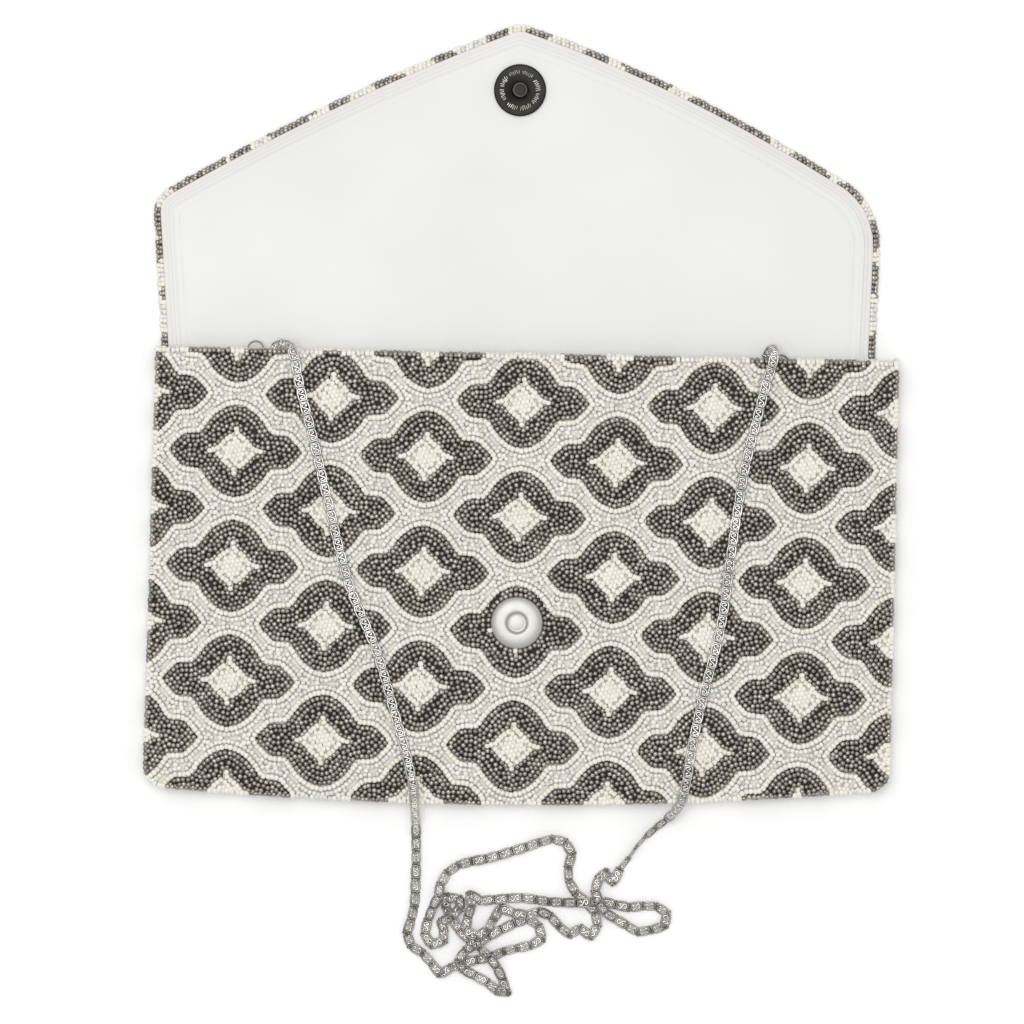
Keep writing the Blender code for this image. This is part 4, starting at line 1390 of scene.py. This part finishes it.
def make_pocket_linings():
    inset, step = 1.6, 3.0
    outline = skewed(pouch_outline(inset, top=BEND_START_Y + 1.0), 0.0)
    points, quads = trimmed_grid(outline, step)
    z = LINING_Z - 0.03 + 0.6 * undulation(points[:, 0], points[:, 1])
    back = satin_panel("back_lining_panel", points, z, quads)
    with_pouch(back)
    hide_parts("back_lining")

    points, quads = trimmed_grid(skewed(pouch_outline(inset)), step)
    x, y = points[:, 0], points[:, 1]
    z = FRONT_LINING_Z - front_drop(x, y) + 0.4 * undulation(x, y)
    front = satin_panel("front_lining_panel", points, z, quads[:, ::-1])
    with_pouch(front)
    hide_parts("front_lining")


def make_mouth_hem():
    """The rolled satin edge inside the mouth that closes the front wall's layers."""
    reach = HALF_WIDTH - 1.2
    across = np.linspace(-reach, reach, 160)
    section = [(-3.5, 7.9), (-1.2, 7.75), (-0.6, 7.85), (-0.35, 8.3), (-0.5, 9.2), (-1.2, 9.6)]
    rows = []
    for dy, z in section:
        line = skewed(np.column_stack([across, np.full(len(across), MOUTH_Y + dy)]))
        rows.append(np.column_stack([line, z - front_drop(line[:, 0], line[:, 1])]))
    quads = grid_quads(len(rows), len(across))
    mesh = quad_mesh("mouth_hem", np.vstack(rows), quads, ["satin"])
    new_object("mouth_hem", mesh, "pouch")


# ---------------------------------------------------------------- snap, rings and loops


def turned(name, profile, y, looks, steps=96, spans_of_second=()):
    """A round piece, turned about the vertical axis at y from (radius, height) points.

    The spans of the profile listed in spans_of_second take the second look.
    """
    circle = at_angles(evenly_round(steps))
    rings = [np.column_stack([r * circle + (0, y), np.full(steps, z)]) for r, z in profile]
    quads = grid_quads(len(profile), steps, wrap=True)
    spans = np.repeat(np.arange(len(profile) - 1), steps)
    shades = np.isin(spans, spans_of_second).astype(int)
    return quad_mesh(name, np.vstack(rings), quads, looks, shades)


def make_snap_case():
    """The bright domed half: a pressed cap with a centre hole and a rivet in it."""
    seat = 9.65
    profile = [
        (9.0, seat),
        (9.02, 10.35), (8.95, 10.75), (8.72, 11.2), (8.3, 11.62), (7.7, 11.93), (6.8, 12.15),
        (5.8, 12.26), (4.7, 12.3), (4.1, 12.27), (3.85, 12.17), (3.66, 12.0), (3.52, 11.72),
        (3.42, 11.4), (3.3, 11.2), (3.1, 11.08), (2.9, 11.02), (2.0, 11.0), (0.02, 11.0),
    ]
    mesh = turned("snap_cap", profile, SNAP_Y, ["bright_nickel"])
    cap = new_object("snap_cap", mesh, "pouch")
    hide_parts("snap_socket_case")
    rivet = [
        (9.0, 9.7), (3.4, 10.2), (2.9, 10.7), (2.75, 10.9), (2.6, 11.0), (2.3, 11.07),
        (0.02, 11.08),
    ]
    mesh = turned("snap_rivet", rivet, SNAP_Y, ["bright_nickel"])
    base = new_object("snap_rivet", mesh, "pouch")
    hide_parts("snap_socket_base")


def make_snap_stud():
    """The dark half on the flap: a flat disc, a ring of plain ticks, and the centre post."""
    low, top = 3.25, 4.3
    profile = [
        (8.98, low),
        (9.0, 3.9), (8.95, 4.08), (8.8, 4.22),
        (8.5, top),
        (7.9, top + 0.01),
        (2.75, top + 0.01),
        (2.6, top - 0.1),
    ]
    mesh = turned("snap_disc", profile, FLAP_SNAP_Y, ["dark_plating"])
    disc = new_object("snap_disc", mesh, "flap")
    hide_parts("snap_stud_plate")
    post = [
        (2.55, 4.2), (2.56, 5.2), (2.52, 5.44), (2.42, 5.6), (2.27, 5.72), (2.1, 5.78), (1.9, 5.8),
        (1.0, 5.8), (0.02, 5.79),
    ]
    # The post's rounded rim takes the lighter plating, a painted highlight; the flat top keeps the dark
    # plating.
    looks = ["dark_plating", "rim_highlight_plating"]
    mesh = turned("snap_post", post, FLAP_SNAP_Y, looks, 64, (1, 2, 3, 4))
    stud = new_object("snap_post", mesh, "flap")
    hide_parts("snap_stud_post")
    make_tick_ring(top + 0.02)


def tick_corners(inner, outer, half, slant, angle):
    """The four corners of a stroke between two radii, slanted and turned to its angle."""
    corners = []
    for r, side in ((inner, -1), (inner, 1), (outer, 1), (outer, -1)):
        shift = side * half + slant * (r - 6.25)
        x = r * math.cos(angle) - shift * math.sin(angle)
        y = r * math.sin(angle) + shift * math.cos(angle)
        corners.append((x, FLAP_SNAP_Y + y))
    return corners


def make_tick_ring(level):
    """Short raised strokes round the disc, in groups, each of its own length and slant."""
    rng = np.random.default_rng(3)
    count, group, height = 58, 29, 0.14
    gaps = (6, 7, 14, 21, 28)
    points = []
    quads = []
    for i in range(count):
        if i % group in gaps:
            continue
        inner = 5.35 + rng.uniform(0, 0.5)
        outer = 7.15 - rng.uniform(0, 0.5)
        slant = rng.uniform(-0.35, 0.35)
        half = rng.uniform(0.12, 0.2)
        first = len(points)
        for z, grow in ((level, 1.25), (level + height, 0.8)):
            corners = tick_corners(inner, outer, half * grow, slant, 2 * math.pi * i / count)
            points += [(x, y, z) for x, y in corners]
        quads.append([first + 4, first + 5, first + 6, first + 7])
        for k in range(4):
            ahead = (k + 1) % 4
            quads.append([first + k, first + ahead, first + 4 + ahead, first + 4 + k])
    mesh = quad_mesh("snap_ticks", points, quads, ["rubbed_plating"])
    mesh.shade_flat()
    new_object("snap_ticks", mesh, "flap")


def dress_kept_nodes(nodes):
    """Better materials for the CAD nodes whose own shape shows."""
    nodes_of_look = {
        "board": ["back_interfacing", "front_interfacing", "flap_interfacing"],
        "magnet": ["snap_socket_magnet"],
        "plain_steel": ["snap_socket_washer", "snap_stud_washer"],
        "ribbon": ["strap_tab_left", "strap_tab_right"],
        "ring_steel": ["jump_ring_left", "jump_ring_right"],
        "chain_silver": ["chain_end_ring_left", "chain_end_ring_right"],
    }
    for look, names in nodes_of_look.items():
        for name in names:
            mesh = nodes[name].data
            mesh.materials.clear()
            mesh.materials.append(LOOKS[look])


# ---------------------------------------------------------------- the scene


def corners(bounds):
    return [list(corner) for corner in bounds]


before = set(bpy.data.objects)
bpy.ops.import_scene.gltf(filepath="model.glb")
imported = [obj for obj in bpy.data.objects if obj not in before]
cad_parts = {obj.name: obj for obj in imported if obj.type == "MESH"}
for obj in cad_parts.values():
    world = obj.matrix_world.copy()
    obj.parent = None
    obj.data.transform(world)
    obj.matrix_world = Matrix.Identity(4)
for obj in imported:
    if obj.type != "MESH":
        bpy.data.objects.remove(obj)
cad_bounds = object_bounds()
LOOKS = {}
make_looks()
make_camera()
make_chain()
make_light()
make_floor()
cells = cell_tables()
make_front_beads(cells)
make_back_beads(cells)
make_flap_beads(cells)
make_edge_beads()
make_gusset()
make_seams(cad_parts)
make_flap_lining()
make_pocket_linings()
make_mouth_hem()
make_snap_case()
make_snap_stud()
dress_kept_nodes(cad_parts)

sizes = {"cad": corners(cad_bounds), "visual": corners(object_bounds())}
